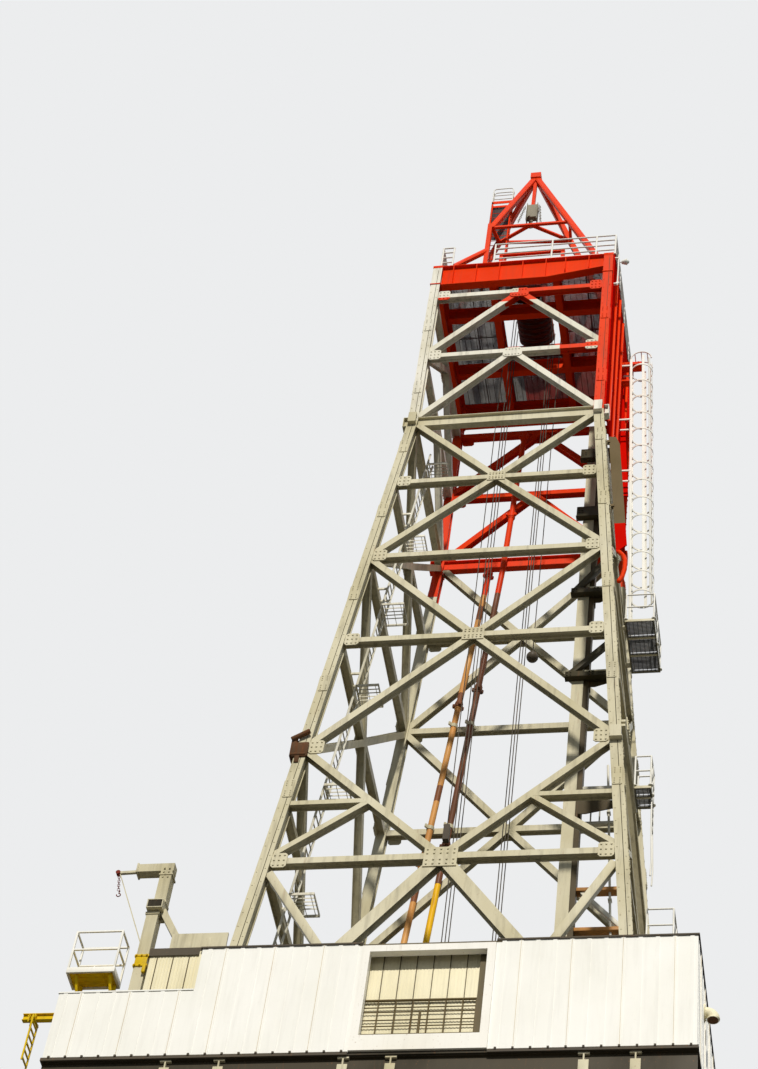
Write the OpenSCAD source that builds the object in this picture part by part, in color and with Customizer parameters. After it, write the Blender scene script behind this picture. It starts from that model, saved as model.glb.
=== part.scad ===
// Land drilling rig at half scale: substructure, walled drill floor and a square lattice derrick.
// Millimetres. X runs to the right seen from the V-door side, Y runs away from that side, Z is up.

/* [Derrick] */
// Distance of the derrick's axis from the frame's centre along X
axis_x = 690; // [500:10:900]
// Height of the deck the derrick stands on
deck_z = 4440; // [3600:10:5200]
// Half width of the derrick between leg centres, at the neck and above
neck_hw = 1400; // [1200:10:1600]
// Sideways run of a leg per unit of height below the neck
taper = 0.073; // [0.05:0.001:0.09]
// Side of a leg's section
leg_w = 150; // [100:1:200]
// Recess in the inner and outer side of a leg's section
leg_recess = 20; // [5:1:40]
// Flange width of a bracing bar
bar_w = 100; // [60:1:140]
// Depth of a bracing bar across the face
bar_d = 110; // [60:1:140]
// Flange width of the two heavy bars over the V-door
heavy_w = 165; // [100:1:200]
// Plate thickness of the rolled sections
plate_t = 9; // [5:1:14]
// Clearance between two steel parts that are bolted to each other
gap = 0.5; // [0.2:0.1:0.9]

/* [Levels] */
// Height of the first girt, over the V-door
g1_z = 7893; // [7400:10:8400]
// Height of the first leg node
n2_z = 10003; // [9600:10:10400]
// Height of the middle girt where the first X crosses
g3_z = 12245; // [11900:10:12600]
// Height of the second leg node
n4_z = 14186; // [13800:10:14500]
// Height of the girt where the second X crosses
g5_z = 16056; // [15700:10:16400]
// Height of the neck belt
n6_z = 17716; // [17300:10:18100]
// Height of the first girt above the neck
n7_z = 19459; // [19000:10:19900]
// Height of the second girt above the neck
n8_z = 21150; // [20800:10:21400]
// Top of the crown girders
crown_z = 22050; // [21800:10:22400]

/* [Belt and crown] */
// Height of the belt beams at the neck
belt_h = 225; // [150:5:300]
// Flange width of the belt beams
belt_w = 100; // [60:2:104]
// Depth of the crown girders
girder_h = 560; // [400:10:700]
// Width of the crown girders
girder_w = 130; // [80:5:200]
// Left edge of the crown floor
crown_x0 = -1390; // [-1450:10:-1350]
// Right edge of the crown floor
crown_x1 = 1510; // [1480:10:1600]
// Half depth of the crown floor, front to back
crown_hy = 1425; // [1400:5:1550]
// Thickness of the crown floor grating
grating_t = 30; // [15:1:50]

/* [Floor and walls] */
// Left end of the drill floor, measured from the derrick axis
deck_x0 = -3957; // [-4300:1:-3500]
// Right end of the drill floor
deck_x1 = 3068; // [2700:1:3500]
// Front edge of the drill floor
deck_y0 = -2800; // [-3100:10:-2600]
// Rear edge of the drill floor
deck_y1 = 2850; // [2600:10:3200]
// Thickness of the deck plate
deck_t = 40; // [20:1:80]
// Top of the full height windwall
wall_z = 5960; // [5500:10:6400]
// Top of the low windwall on the outrigger
low_z = 5360; // [5100:10:5600]
// Left end of the full height windwall
wall_x0 = -2422; // [-2700:1:-2200]
// Left end of the recess between the low wall and the full height wall
recess_x = -3050; // [-3200:10:-2900]
// Thickness of a windwall
wall_t = 40; // [20:1:60]
// Rotary opening radius
rotary_r = 240; // [150:5:400]

/* [V-door] */
// Left side of the V-door opening
door_x0 = -505; // [-700:1:-400]
// Right side of the V-door opening
door_x1 = 795; // [600:1:1000]
// Bottom of the V-door opening
door_z0 = 4645; // [4500:1:4800]
// Top of the V-door opening
door_z1 = 5820; // [5600:1:5900]
// Width of the V-door frame
door_frame = 90; // [50:1:140]

/* [Substructure] */
// Height of the floor beams
beam_h = 380; // [250:10:500]
// Width of the floor beams
beam_w = 160; // [100:5:240]
// Side of a substructure post
post_w = 180; // [120:5:260]

/* [Lines] */
// Height of the ball weight on the tugger line
ball_z = 13865; // [9000:5:16000]
// Height of the hook block on the other tugger line
hook_z = 10300; // [8000:5:15000]

/* [Ladders and platforms] */
// Distance between two rungs
rung_pitch = 150; // [120:5:180]
// Height of a handrail over its floor
rail_h = 550; // [450:5:600]

/* [Hidden] */
w_arm = 75;
theta = atan(taper);
hw0 = neck_hw + taper * (n6_z - deck_z);
big = 20000;
beam_xs = [-2573, -1984, -640, -130, 1899, 2435];
beam_z1 = deck_z - deck_t;
beam_z0 = beam_z1 - beam_h;

// Half width of the derrick at a height
function hw(z) = z < n6_z ? neck_hw + taper * (n6_z - z) : neck_hw;
// Half width between the legs, less the clearance: $reach goes into the recess of their sections
$reach = 0;
function inner(z) = hw(z) - leg_w / 2 - gap + $reach;
function unit(v) = v / norm(v);

// Everything is drawn about the derrick's axis and moved to the frame's centre
module at_axis() translate([axis_x, 0, 0]) children();

// Block from its low corner to its high corner
module block(p, q) translate(p) cube(q - p);

// Closed H section, flanges across the second axis
module h_section(w, d, tf, tw) polygon([
  [-w / 2, -d / 2], [w / 2, -d / 2], [w / 2, -d / 2 + tf], [tw / 2, -d / 2 + tf],
  [tw / 2, d / 2 - tf], [w / 2, d / 2 - tf], [w / 2, d / 2], [-w / 2, d / 2],
  [-w / 2, d / 2 - tf], [-tw / 2, d / 2 - tf], [-tw / 2, -d / 2 + tf], [-w / 2, -d / 2 + tf]
]);

// Sets the drawing's Z along a to b, with its Y as near as it can to n
module along(a, b, n = [0, 1, 0]) {
  z = unit(b - a);
  y = unit(n - (n * z) * z);
  x = cross(y, z);
  multmatrix([[x[0], y[0], z[0], a[0]], [x[1], y[1], z[1], a[1]],
    [x[2], y[2], z[2], a[2]], [0, 0, 0, 1]]) children();
}

module h_bar(a, b, n = [0, 1, 0], w = bar_w, d = bar_d) along(a, b, n)
  linear_extrude(norm(b - a)) h_section(w, d, plate_t, plate_t);

module box_bar(a, b, w, d, n = [0, 1, 0]) along(a, b, n)
  linear_extrude(norm(b - a)) square([w, d], center = true);

module tube(a, b, r, fn = 24) along(a, b, [0, 1, 0.01]) cylinder(r = r, h = norm(b - a), $fn = fn);

// One leg: a leaning length up to the neck and an upright length above it
module leg_section(x, y, z) translate([x, y, z])
  h_section(leg_w, leg_w, 12, leg_w - 2 * leg_recess);

module leg(sx, sy) {
  k = taper * (n6_z - deck_z);
  multmatrix([[1, 0, -sx * taper, sx * (neck_hw + k) + sx * taper * deck_z],
    [0, 1, -sy * taper, sy * (neck_hw + k) + sy * taper * deck_z],
    [0, 0, 1, 0], [0, 0, 0, 1]])
    translate([0, 0, deck_z]) linear_extrude(n6_z - deck_z)
      h_section(leg_w, leg_w, 12, leg_w - 2 * leg_recess);
  translate([sx * neck_hw, sy * neck_hw, n6_z]) linear_extrude(crown_z - n6_z)
    h_section(leg_w, leg_w, 12, leg_w - 2 * leg_recess);
}

// The leaning plane of the front face, laid flat: X across, Z up the slope from the deck
module lean() translate([0, -hw0, deck_z]) rotate([-theta, 0, 0]) children();
function s(z) = (z - deck_z) / cos(theta);
// The upright plane of the front face above the neck
module upright() translate([0, -neck_hw, 0]) children();

// Prism through the face over a four sided outline
module outline(a, b, c, d) translate([0, 400, 0]) rotate([90, 0, 0])
  linear_extrude(800) polygon([a, b, c, d]);

// Right (k = 1) or left (k = -1) half of a panel between two heights, in the flat face
module half_lean(k, za, zb, c = gap / 2) outline([k * c, s(za)], [k * inner(za), s(za)],
  [k * inner(zb), s(zb)], [k * c, s(zb)]);

// A bar in the flat face from (u0, z0) to (u1, z1), cut to its half panel
module lean_bar(k, u0, z0, u1, z1, za, zb, w = bar_w, c = gap / 2) {
  a = [k * u0, 0, s(z0)];
  b = [k * u1, 0, s(z1)];
  e = unit(b - a) * 260;
  intersection() {
    h_bar(a - e, b + e, w = w);
    half_lean(k, za, zb, c);
  }
}

module lean_girt(z, c = gap / 2, w = bar_w) for (k = [-1, 1]) intersection() {
  h_bar([k * c, 0, s(z)], [k * 3000, 0, s(z)], w = w);
  half_lean(k, z - w, z + w, c);
}

// Short bar between a leg and the outer side of a main diagonal
module side_bar(k, a, b, da, db, w = 80) {
  p = [k * a[0], 0, s(a[1])];
  q = [k * b[0], 0, s(b[1])];
  e = unit(q - p) * 260;
  m = [k * da[0], s(da[1])];
  n = [k * db[0], s(db[1])];
  t = unit(n - m);
  o = (k > 0 ? [t[1], -t[0]] : [-t[1], t[0]]) * (da[2] + gap);
  far = (k > 0 ? [t[1], -t[0]] : [-t[1], t[0]]) * 4000;
  intersection() {
    h_bar(p - e, q + e, w = w);
    half_lean(k, deck_z + 20, n6_z);
    outline(m + o - t * 900, m + o + far - t * 900, n + o + far + t * 900, n + o + t * 900);
  }
}

module gusset(z, w, h) translate([-w / 2, -bar_d / 2 - gap - 14, s(z) - h / 2]) cube([w, 14, h]);

// One leaning face from the deck to the belt
module face_below() lean() {
  hb = bar_w / 2 + gap;
  for (k = [-1, 1]) {
    // inverted V over the V-door, and the strut from the leg to its middle
    lean_bar(k, 0, g1_z, hw0, deck_z, deck_z + gap, g1_z - hb, w = heavy_w);
    side_bar(k, [hw(g1_z), g1_z - 60], [1180, 6170], [0, g1_z, heavy_w / 2], [hw0, deck_z, 0]);
    // V above the first girt with its short bars
    lean_bar(k, 0, g1_z, hw(n2_z), n2_z, g1_z + hb, n2_z - gap);
    h_mid = (g1_z + n2_z) / 2;
    u_mid = hw(n2_z) / 2;
    lean_sub(k, h_mid, u_mid);
    // first X, crossing at the middle girt
    lean_bar(k, 0, g3_z, hw(n2_z), n2_z, n2_z + gap, g3_z - hb);
    lean_bar(k, 0, g3_z, hw(n4_z), n4_z, g3_z + hb, n4_z - hb);
    // second X
    lean_bar(k, 0, g5_z, hw(n4_z), n4_z, n4_z + hb, g5_z - hb);
    lean_bar(k, 0, g5_z, hw(n6_z), n6_z, g5_z + hb, n6_z - belt_h / 2 - gap);
  }
  lean_girt(g1_z);
  lean_girt(g3_z);
  lean_girt(n4_z);
  lean_girt(g5_z);
  gusset(g1_z - 30, 400, 330);
  gusset(g3_z, 290, 250);
  gusset(g5_z, 260, 220);
}

// Short level bar and strut outside the V above the first girt
module lean_sub(k, zm, um) {
  m = [0, g1_z, bar_w / 2];
  n = [hw(n2_z), n2_z, 0];
  side_bar_upper(k, [hw(zm), zm], [um, zm], m, n, zm - 38, zm + 45);
  side_bar_upper(k, [hw(g1_z), g1_z + 60], [um, zm], m, n, g1_z + bar_w / 2 + gap, zm - 40 - gap);
}

module side_bar_upper(k, a, b, da, db, za, zb, w = 76) {
  p = [k * a[0], 0, s(a[1])];
  q = [k * b[0], 0, s(b[1])];
  e = unit(q - p) * 260;
  m = [k * da[0], s(da[1])];
  n = [k * db[0], s(db[1])];
  t = unit(n - m);
  side = k > 0 ? [t[1], -t[0]] : [-t[1], t[0]];
  o = side * (da[2] + gap);
  intersection() {
    h_bar(p - e, q + e, w = w);
    half_lean(k, za, zb);
    outline(m + o - t * 900, m + o + side * 4000 - t * 900, n + o + side * 4000 + t * 900,
      n + o + t * 900);
  }
}

// Upright half panel above the neck
module half_up(k, za, zb) outline([k * gap / 2, za], [k * inner(n7_z), za],
  [k * inner(n7_z), zb], [k * gap / 2, zb]);

module up_bar(k, u0, z0, u1, z1, za, zb) {
  a = [k * u0, 0, z0];
  b = [k * u1, 0, z1];
  e = unit(b - a) * 260;
  intersection() {
    h_bar(a - e, b + e);
    half_up(k, za, zb);
  }
}

// One upright face from the belt to the crown girder
module face_above() upright() {
  hb = bar_w / 2 + gap;
  for (k = [-1, 1]) {
    up_bar(k, 0, n7_z - 20, neck_hw, n6_z + 60, n6_z + belt_h / 2 + gap, n7_z - hb);
    up_bar(k, 0, n8_z - 20, neck_hw, n7_z + 60, n7_z + hb, n8_z - hb);
  }
  for (z = [n7_z, n8_z]) h_bar([-inner(n7_z), 0, z], [inner(n7_z), 0, z]);
}

// Belt: one deep beam a side between the legs, and stiffened stubs outside them
module belt_side() {
  b = inner(n7_z);
  h_beam_x(-b, b, -neck_hw, n6_z - belt_h / 2, n6_z + belt_h / 2, belt_w, 12);
  for (k = [-1, 1]) translate([k * (neck_hw + leg_w / 2 + taper * belt_h / 2 + gap + 35), -neck_hw, n6_z])
    rotate([0, 0, k > 0 ? 0 : 180]) {
      translate([-35, -60, -belt_h / 2]) cube([70, 120, 12]);
      translate([-35, -60, belt_h / 2 - 12]) cube([70, 120, 12]);
      translate([23, -60, -belt_h / 2]) cube([12, 120, belt_h]);
      translate([-35, -6, -belt_h / 2]) cube([60, 12, belt_h]);
    }
}

// I-beam along X with upright web
module h_beam_x(x0, x1, y, z0, z1, w, t) {
  translate([x0, y - w / 2, z0]) cube([x1 - x0, w, t]);
  translate([x0, y - w / 2, z1 - t]) cube([x1 - x0, w, t]);
  translate([x0, y - t / 2, z0]) cube([x1 - x0, t, z1 - z0]);
}

// I-beam along Y with upright web
module h_beam_y(y0, y1, x, z0, z1, w, t) {
  translate([x - w / 2, y0, z0]) cube([w, y1 - y0, t]);
  translate([x - w / 2, y0, z1 - t]) cube([w, y1 - y0, t]);
  translate([x - t / 2, y0, z0]) cube([t, y1 - y0, z1 - z0]);
}

// Substructure side: two bottom skids, posts, top rails and diagonals under a pair of floor beams
module substructure_side(xa, xb) {
  top = beam_z0;
  skid = 260;
  posts = [deck_y0 + 240, -760, 960, deck_y1 - 240];
  for (x = [xa, xb]) {
    h_beam_y(deck_y0 + 50, deck_y1 - 50, x, 0, skid, post_w, 20);
    for (y = posts) block([x - post_w / 2, y - post_w / 2, skid], [x + post_w / 2, y + post_w / 2, top]);
  }
  side = xa < 0 ? xa : xb;
  for (i = [0:2]) let (y0 = posts[i] + post_w / 2, y1 = posts[i + 1] - post_w / 2)
    for (p = [[skid + 60, top - 60]]) intersection() {
      up = i != 1;
      a = [side, up ? y0 : y1, p[0]];
      b = [side, up ? y1 : y0, p[1]];
      e = unit(b - a) * 200;
      box_bar(a - e, b + e, 110, 110, [1, 0, 0]);
      block([side - 100, y0, skid], [side + 100, y1, top]);
    }
  for (y = posts, z = [skid + 40, top - 200]) block([xa + post_w / 2, y - 60, z],
    [xb - post_w / 2, y + 60, z + 140]);
}

module substructure_left() color("#B9B295") at_axis() substructure_side(beam_xs[0], beam_xs[1]);

module substructure_right() color("#B9B295") at_axis() substructure_side(beam_xs[4], beam_xs[5]);

// Members that tie the two boxes together at the ground and under the floor
module substructure_spreaders() color("#B9B295") at_axis() {
  xl = beam_xs[1] + post_w / 2 + gap;
  xr = beam_xs[4] - post_w / 2 - gap;
  for (y = [deck_y0 + 240, deck_y1 - 240]) {
    block([xl, y - 70, 6], [xr, y + 70, 254]);
    block([xl, y - 70, beam_z0 - 200], [xr, y + 70, beam_z0 - 20]);
  }
}

// Floor beams under the deck: pairs front to back, edge beams across and an outrigger on the left
module floor_beams() color("#B9B295") at_axis() {
  for (x = beam_xs) if (x != beam_xs[3]) h_beam_y(deck_y0 + 90, deck_y1 - 90, x, beam_z0 + gap, beam_z1 - gap, beam_w, 18);
  // the beam under the rotary opening stops at the cross beams before and behind it
  h_beam_y(deck_y0 + 90, -500, beam_xs[3], beam_z0 + gap, beam_z1 - gap, beam_w, 18);
  h_beam_y(500, deck_y1 - 90, beam_xs[3], beam_z0 + gap, beam_z1 - gap, beam_w, 18);
  for (y = [deck_y0 + 55, deck_y1 - 55]) h_beam_x(deck_x0, deck_x1, y, beam_z0 + 120, beam_z1 - gap, 70, 12);
  for (x = [deck_x0 + 90, -3300]) h_beam_y(deck_y0 + 90, deck_y1 - 90, x, beam_z0 + 120, beam_z1 - gap, 100, 12);
  h_beam_y(deck_y0 + 90, deck_y1 - 90, deck_x1 - 60, beam_z0 + 120, beam_z1 - gap, 100, 12);
  for (i = [0:4], y = [-1500, -520, 520, 1500]) h_beam_x(beam_xs[i] + beam_w / 2, beam_xs[i + 1] - beam_w / 2, y,
    beam_z0 + 160, beam_z1 - gap, 90, 12);
  for (y = [-1500, 0, 1500]) h_beam_x(deck_x0 + 140, beam_xs[0] - beam_w / 2, y,
    beam_z0 + 160, beam_z1 - gap, 90, 12);
}

module drill_floor() color("#6E675A") at_axis() difference() {
  block([deck_x0, deck_y0, beam_z1], [deck_x1, deck_y1, deck_z]);
  translate([0, 0, beam_z1 - 10]) cylinder(r = rotary_r, h = deck_t + 20, $fn = 48);
}

// Full height windwall left of the V-door
module windwall_front_left() color("#F4F4EE") at_axis()
  block([wall_x0, deck_y0, deck_z], [door_x0 - door_frame - gap, deck_y0 + wall_t, wall_z]);

module windwall_front_right() color("#F4F4EE") at_axis()
  block([door_x1 + door_frame + gap, deck_y0, deck_z], [deck_x1, deck_y0 + wall_t, wall_z]);

// Low windwall round the outrigger: front, left end and rear
module windwall_low() color("#F4F4EE") at_axis() {
  x1 = recess_x - gap;
  difference() {
    block([deck_x0, deck_y0, deck_z], [wall_x0 - gap, deck_y1, low_z]);
    block([deck_x0 + wall_t, deck_y0 + wall_t, deck_z - 10], [wall_x0 + 10, deck_y1 - wall_t, low_z + 10]);
    block([x1, deck_y0 + wall_t, deck_z - 10], [wall_x0 + 10, deck_y1 + 10, low_z + 10]);
  }
}

// Left wall of the enclosure, with the recessed return behind the low wall
module windwall_left() color("#D8D2B0") at_axis() {
  block([recess_x, deck_y0 + 100, deck_z], [recess_x + wall_t, deck_y1 - wall_t - gap, wall_z + 80]);
  block([recess_x, deck_y0 + 100, deck_z], [wall_x0 - gap, deck_y0 + 100 + wall_t, wall_z + 80]);
  block([wall_x0 - wall_t, deck_y0 + wall_t + gap, deck_z], [wall_x0 - gap, deck_y0 + 110, wall_z]);
}

module windwall_right() color("#F4F4EE") at_axis()
  block([deck_x1 - wall_t, deck_y0 + wall_t + gap, deck_z], [deck_x1, deck_y1 - wall_t - gap, wall_z]);

module windwall_rear() color("#F4F4EE") at_axis()
  block([recess_x, deck_y1 - wall_t, deck_z], [deck_x1, deck_y1, wall_z]);

// Cream panel wall that closes the space behind the V-door frame
module inner_wall() color("#D8D2B0") at_axis() {
  y = deck_y0 + 230;
  block([door_x0 - 150, y, deck_z], [door_x1 + 150, y + wall_t, wall_z]);
  for (x = [door_x0 - 150, door_x1 + 150 - 60]) block([x, y + wall_t, deck_z], [x + 60, y + wall_t + 60, wall_z]);
}

module v_door_frame() color("#D8D2B0") at_axis() difference() {
  block([door_x0 - door_frame, deck_y0 - 30, deck_z], [door_x1 + door_frame, deck_y0 + 60, door_z1 + door_frame]);
  block([door_x0, deck_y0 - 40, door_z0], [door_x1, deck_y0 + 70, door_z1]);
}

// Handrail across the V-door opening, behind the frame
module v_door_rail() color("#8A7A5A") at_axis() {
  y = deck_y0 + 130;
  n = 4;
  for (i = [0:n]) let (x = door_x0 - 40 + i * (door_x1 - door_x0 + 80) / n)
    block([x - 16, y - 16, deck_z], [x + 16, y + 16, door_z0 + 470]);
  for (z = [110, 200, 290, 380, 450]) translate([0, 0, door_z0 + z - 12])
    block([door_x0 - 40, y - 10, 0], [door_x1 + 40, y + 10, 22]);
}

// Railed basket on the left end, on four legs from the deck
module side_basket() color("#D9B800") at_axis() {
  x0 = deck_x0 - 20;
  x1 = x0 + 560;
  y0 = deck_y0 + wall_t + 20;
  y1 = y0 + 300;
  z = low_z + 425;
  block([x0, y0, z - 40], [x1, y1, z]);
  for (x = [x0 + 110, x1 - 60], y = [y0 + 40, y1 - 40]) block([x - 25, y - 25, deck_z], [x + 25, y + 25, z - 30]);
  for (x = [x0, x1 - 24], y = [y0, y1 - 24]) block([x, y, z - 40], [x + 24, y + 24, z + rail_h]);
  for (zz = [60, rail_h / 2, rail_h - 24]) {
    for (y = [y0, y1 - 20]) block([x0, y, z + zz], [x1, y + 20, z + zz + 22]);
    for (x = [x0, x1 - 20]) block([x, y0, z + zz], [x + 20, y1, z + zz + 22]);
  }
}

vent_y = -2000;
vent_z = 5560;
davit_x = -3155;
davit_y = -2480;
davit_top = 7500;

// Post of the davit: foot, lower and upper box lengths, a cross tube between them and a brace to the deck
module davit_post() color("#D8D2B0") at_axis() {
  w = 70;
  zc = davit_top - 710;
  x = davit_x - 50;
  block([x - w, davit_y - w, deck_z], [x + w, davit_y + w, zc + 20]);
  block([x - 120, davit_y - 120, deck_z], [x + 120, davit_y + 120, deck_z + 25]);
  block([x - w, davit_y - 130, zc], [davit_x + w, davit_y + 130, zc + 130]);
  block([davit_x - w, davit_y - w, zc], [davit_x + w, davit_y + w, davit_top - 60]);
  intersection() {
    box_bar([davit_x + 40, davit_y, zc + 60], [davit_x + 40 + 0.56 * (zc + 60 - deck_z + 200), davit_y, deck_z - 200], 80, 80);
    block([davit_x - 100, davit_y - 100, deck_z], [davit_x + 3000, davit_y + 100, zc + 60]);
  }
}

// Arm of the davit in its square socket, with its hanging line
module davit_arm() color("#D8D2B0") at_axis() {
  block([davit_x - 370, davit_y - 60, davit_top - 60 + gap], [davit_x + w_arm, davit_y + 60, davit_top + 60]);
  box_bar([davit_x - 360, davit_y, davit_top - 10], [davit_x - 612, davit_y, davit_top - 20], 34, 34);
  box_bar([davit_x - 590, davit_y, davit_top - 30], [davit_x - 130, davit_y, davit_top - 1150], 12, 12);
}

// Ventilation elbow on the right wall
module vent_cowl() color("#D8D2B0") at_axis() translate([deck_x1 + gap, vent_y, vent_z]) {
  rotate([0, 90, 0]) cylinder(r = 88, h = 14, $fn = 32);
  translate([14, 0, -95]) rotate([90, 0, 0]) rotate_extrude(angle = 90, $fn = 32) translate([95, 0]) circle(r = 62, $fn = 32);
}

// Monorail stub on the far left with its hanging ladder
module stub_beam() color("#C8B23C") at_axis() {
  y = -2300;
  z = low_z + 40;
  h_beam_x(-4525, deck_x0 + 260, y, z, z + 90, 60, 8);
  block([deck_x0 + 180, y - 40, deck_z], [deck_x0 + 250, y + 40, z]);
  for (dy = [-90, 90]) block([-4380, y + dy - 8, z - 620], [-4362, y + dy + 8, z + 20]);
  for (i = [0:5]) block([-4380, y - 90, z - 590 + i * 105], [-4362, y + 90, z - 575 + i * 105]);
  block([-4385, y - 98, z - 20], [-4357, y + 98, z]);
}

module leg_front_left() color("#E4E0CC") at_axis() leg(-1, -1);
module leg_front_right() color("#D2CBAE") at_axis() leg(1, -1);
module leg_rear_left() color("#D2CBAE") at_axis() leg(-1, 1);
module leg_rear_right() color("#D2CBAE") at_axis() leg(1, 1);

module bracing_front() color("#D2CBAE") at_axis() face_below($reach = leg_recess);
module bracing_right() color("#D2CBAE") at_axis() rotate([0, 0, 90]) face_below();
module bracing_rear() color("#D2CBAE") at_axis() rotate([0, 0, 180]) face_below($reach = leg_recess);
module bracing_left() color("#D2CBAE") at_axis() rotate([0, 0, 270]) face_below();

module neck_front() color("#E4E0CC") at_axis() face_above($reach = leg_recess);
module neck_right() color("#D42A18") at_axis() rotate([0, 0, 90]) face_above();
module neck_rear() color("#D42A18") at_axis() rotate([0, 0, 180]) face_above($reach = leg_recess);
module neck_left() color("#E4E0CC") at_axis() rotate([0, 0, 270]) face_above();

module belt_beams() color("#D2CBAE") at_axis() for (k = [0:3])
  rotate([0, 0, 90 * k]) belt_side($reach = k % 2 == 0 ? leg_recess : 0);

cross_x = 525;
haunch_x = 420;
haunch_h = 190;
fin_y = -900;

// Crown girders: four deep plate girders between the legs, with beams across them
module crown_frame() color("#D42A18") at_axis() {
  z0 = crown_z - girder_h;
  b = neck_hw - leg_w / 2 - gap;
  for (k = [0:3]) rotate([0, 0, 90 * k]) {
    e = k == 0 ? haunch_x : b;
    h_beam_x(-b, e, -neck_hw, z0, crown_z, girder_w, 14);
    for (i = [-3:3]) if (k > 0 || i < 2) block([i * 380 - 6, -neck_hw - girder_w / 2, z0], [i * 380 + 6, -neck_hw, crown_z]);
  }
  // the front girder gets shallower towards its right end
  translate([0, -neck_hw + girder_w / 2, 0]) rotate([90, 0, 0]) linear_extrude(girder_w) polygon([
    [haunch_x - 2, z0], [haunch_x, z0], [b, z0 + haunch_h], [b, z0 + haunch_h + 14], [haunch_x - 2, z0 + 14]]);
  translate([0, -neck_hw + 7, 0]) rotate([90, 0, 0]) linear_extrude(14) polygon([
    [haunch_x - 2, z0], [haunch_x, z0], [b, z0 + haunch_h], [b, crown_z], [haunch_x - 2, crown_z]]);
  block([haunch_x - 2, -neck_hw - girder_w / 2, crown_z - 14], [b, -neck_hw + girder_w / 2, crown_z]);
  for (x = [700, 1080]) block([x - 6, -neck_hw - girder_w / 2, z0 + haunch_h], [x + 6, -neck_hw, crown_z]);
  m = neck_hw - girder_w / 2 - gap;
  for (x = [-cross_x, cross_x]) h_beam_y(-m, m, x, crown_z - 300, crown_z, 110, 12);
  c = cross_x + 55 + gap;
  for (y = [-560, 560], k = [-1, 1]) h_beam_x(k > 0 ? c : -m, k > 0 ? m : -c, y, crown_z - 300, crown_z, 110, 12);
  for (y = [-560, 560]) h_beam_x(-c + 110 + 2 * gap, c - 110 - 2 * gap, y, crown_z - 300, crown_z, 110, 12);
}

// Crown floor with the well opening in its middle
module crown_floor() color("#8C1A12") at_axis() difference() {
  block([crown_x0, -crown_hy, crown_z + gap], [crown_x1, crown_hy, crown_z + gap + grating_t]);
  block([-465, -400, crown_z - 10], [465, 400, crown_z + 100]);
}

sheave_r = 300;
sheave_z = crown_z + grating_t + 331;
function sheave_y(i) = -240 + i * 100;

// Sheave cluster between two cheek beams over the well opening
module crown_block() color("#6A3A2A") at_axis() {
  z = crown_z + grating_t + gap * 2;
  for (y = [-430, 410]) block([-620, y, z], [620, y + 20 + 60, z + 260]);
  for (y = [-430, 410]) block([-90, y, z + 200], [90, y + 80, sheave_z + 90]);
  for (i = [0:5]) translate([0, sheave_y(i) - 30, sheave_z]) rotate([-90, 0, 0])
    cylinder(r = sheave_r, h = 60, $fn = 32);
  translate([0, -430, sheave_z]) rotate([-90, 0, 0]) cylinder(r = 60, h = 920, $fn = 24);
  // housing of the fast line sheave, in front of the cluster
  block([-365, -940, z], [223, -429, z + 820]);
}

apex = [-100, -720, crown_z + 3900];
ring_z = crown_z + 1850;
beam_low = crown_z + 890;
foot_z = crown_z + grating_t + gap * 2;
ring = [[-700, -1000], [620, -1000], [600, -620], [-620, -700]];

// Square bar between two points, ends cut level
module strut(a, b, w) hull() {
  translate(a) cube(w, center = true);
  translate(b) cube(w, center = true);
}

// Gin pole over the front of the crown: raking legs, a post, a ring and a hanging block
module gin_pole() color("#D42A18") at_axis() {
  feet = [[crown_x1 - 280, -crown_hy + 135], [crown_x1 - 320, -520], [crown_x0 + 200, -520]];
  for (i = [0:2]) strut([feet[i][0], feet[i][1], foot_z + 37], apex, 74);
  strut([-700, -1000, ring_z + 20], apex, 74);
  strut([-740, -1000, foot_z + 37], [-740, -1000, ring_z + 60], 74);
  strut([crown_x0 + 90, -crown_hy + 95, foot_z + 30], [-740, -1000, crown_z + 1130], 60);
  for (i = [0:3]) let (p = ring[i], q = ring[(i + 1) % 4]) strut([p[0], p[1], ring_z], [q[0], q[1], ring_z], 46);
  for (i = [2, 3]) strut([-40, -1000, ring_z], [ring[i][0], ring[i][1], ring_z], 40);
  for (i = [0:2]) block([feet[i][0] - 70, feet[i][1] - 70, foot_z], [feet[i][0] + 70, feet[i][1] + 70, foot_z + 30]);
  // low beam in front of the sheaves, on two posts
  block([-508, -1040, beam_low], [587, -960, beam_low + 70]);
  for (x = [-508, 527]) block([x, -1030, foot_z], [x + 60, -970, beam_low + 10]);
  translate(apex) {
    block([-90, -80, -90], [90, 80, 60]);
    block([-30, -30, -1050], [30, 30, -50]);
    block([-80, -50, -1390], [80, 50, -990]);
  }
}

// Handrail round the crown floor, open at the front where the gin pole stands
rail_zs = [160, 310, 460, 600];
module rail_run(p, q, posts) {
  d = [p[0] == q[0] ? 11 : 0, p[1] == q[1] ? 11 : 0];
  for (z = rail_zs) block([p[0] - d[0], p[1] - d[1], foot_z + z - 11], [q[0] + d[0], q[1] + d[1], foot_z + z + 11]);
  for (k = posts) let (c = p + (q - p) * k) block([c[0] - 18, c[1] - 18, foot_z], [c[0] + 18, c[1] + 18, foot_z + 620]);
}

module crown_handrail() color("#F4F4EE") at_axis() {
  x0 = crown_x0 + 19;
  x1 = crown_x1 - 19;
  y = crown_hy - 19;
  // each side is a panel of its own, a clearance from the next one's corner post
  c = 18 + gap;
  rail_run([x0, -y], [-1189, -y], [0, 1]);
  rail_run([-500, -y], [x1, -y], [0, 0.475, 0.842, 1]);
  rail_run([x0, c - y], [x0, y - c], [0.25, 0.5, 0.75]);
  rail_run([x1, c - y], [x1, y - c], [0.25, 0.5, 0.75]);
  rail_run([x0, y], [x1, y], [0, 0.25, 0.5, 0.75, 1]);
}

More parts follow.
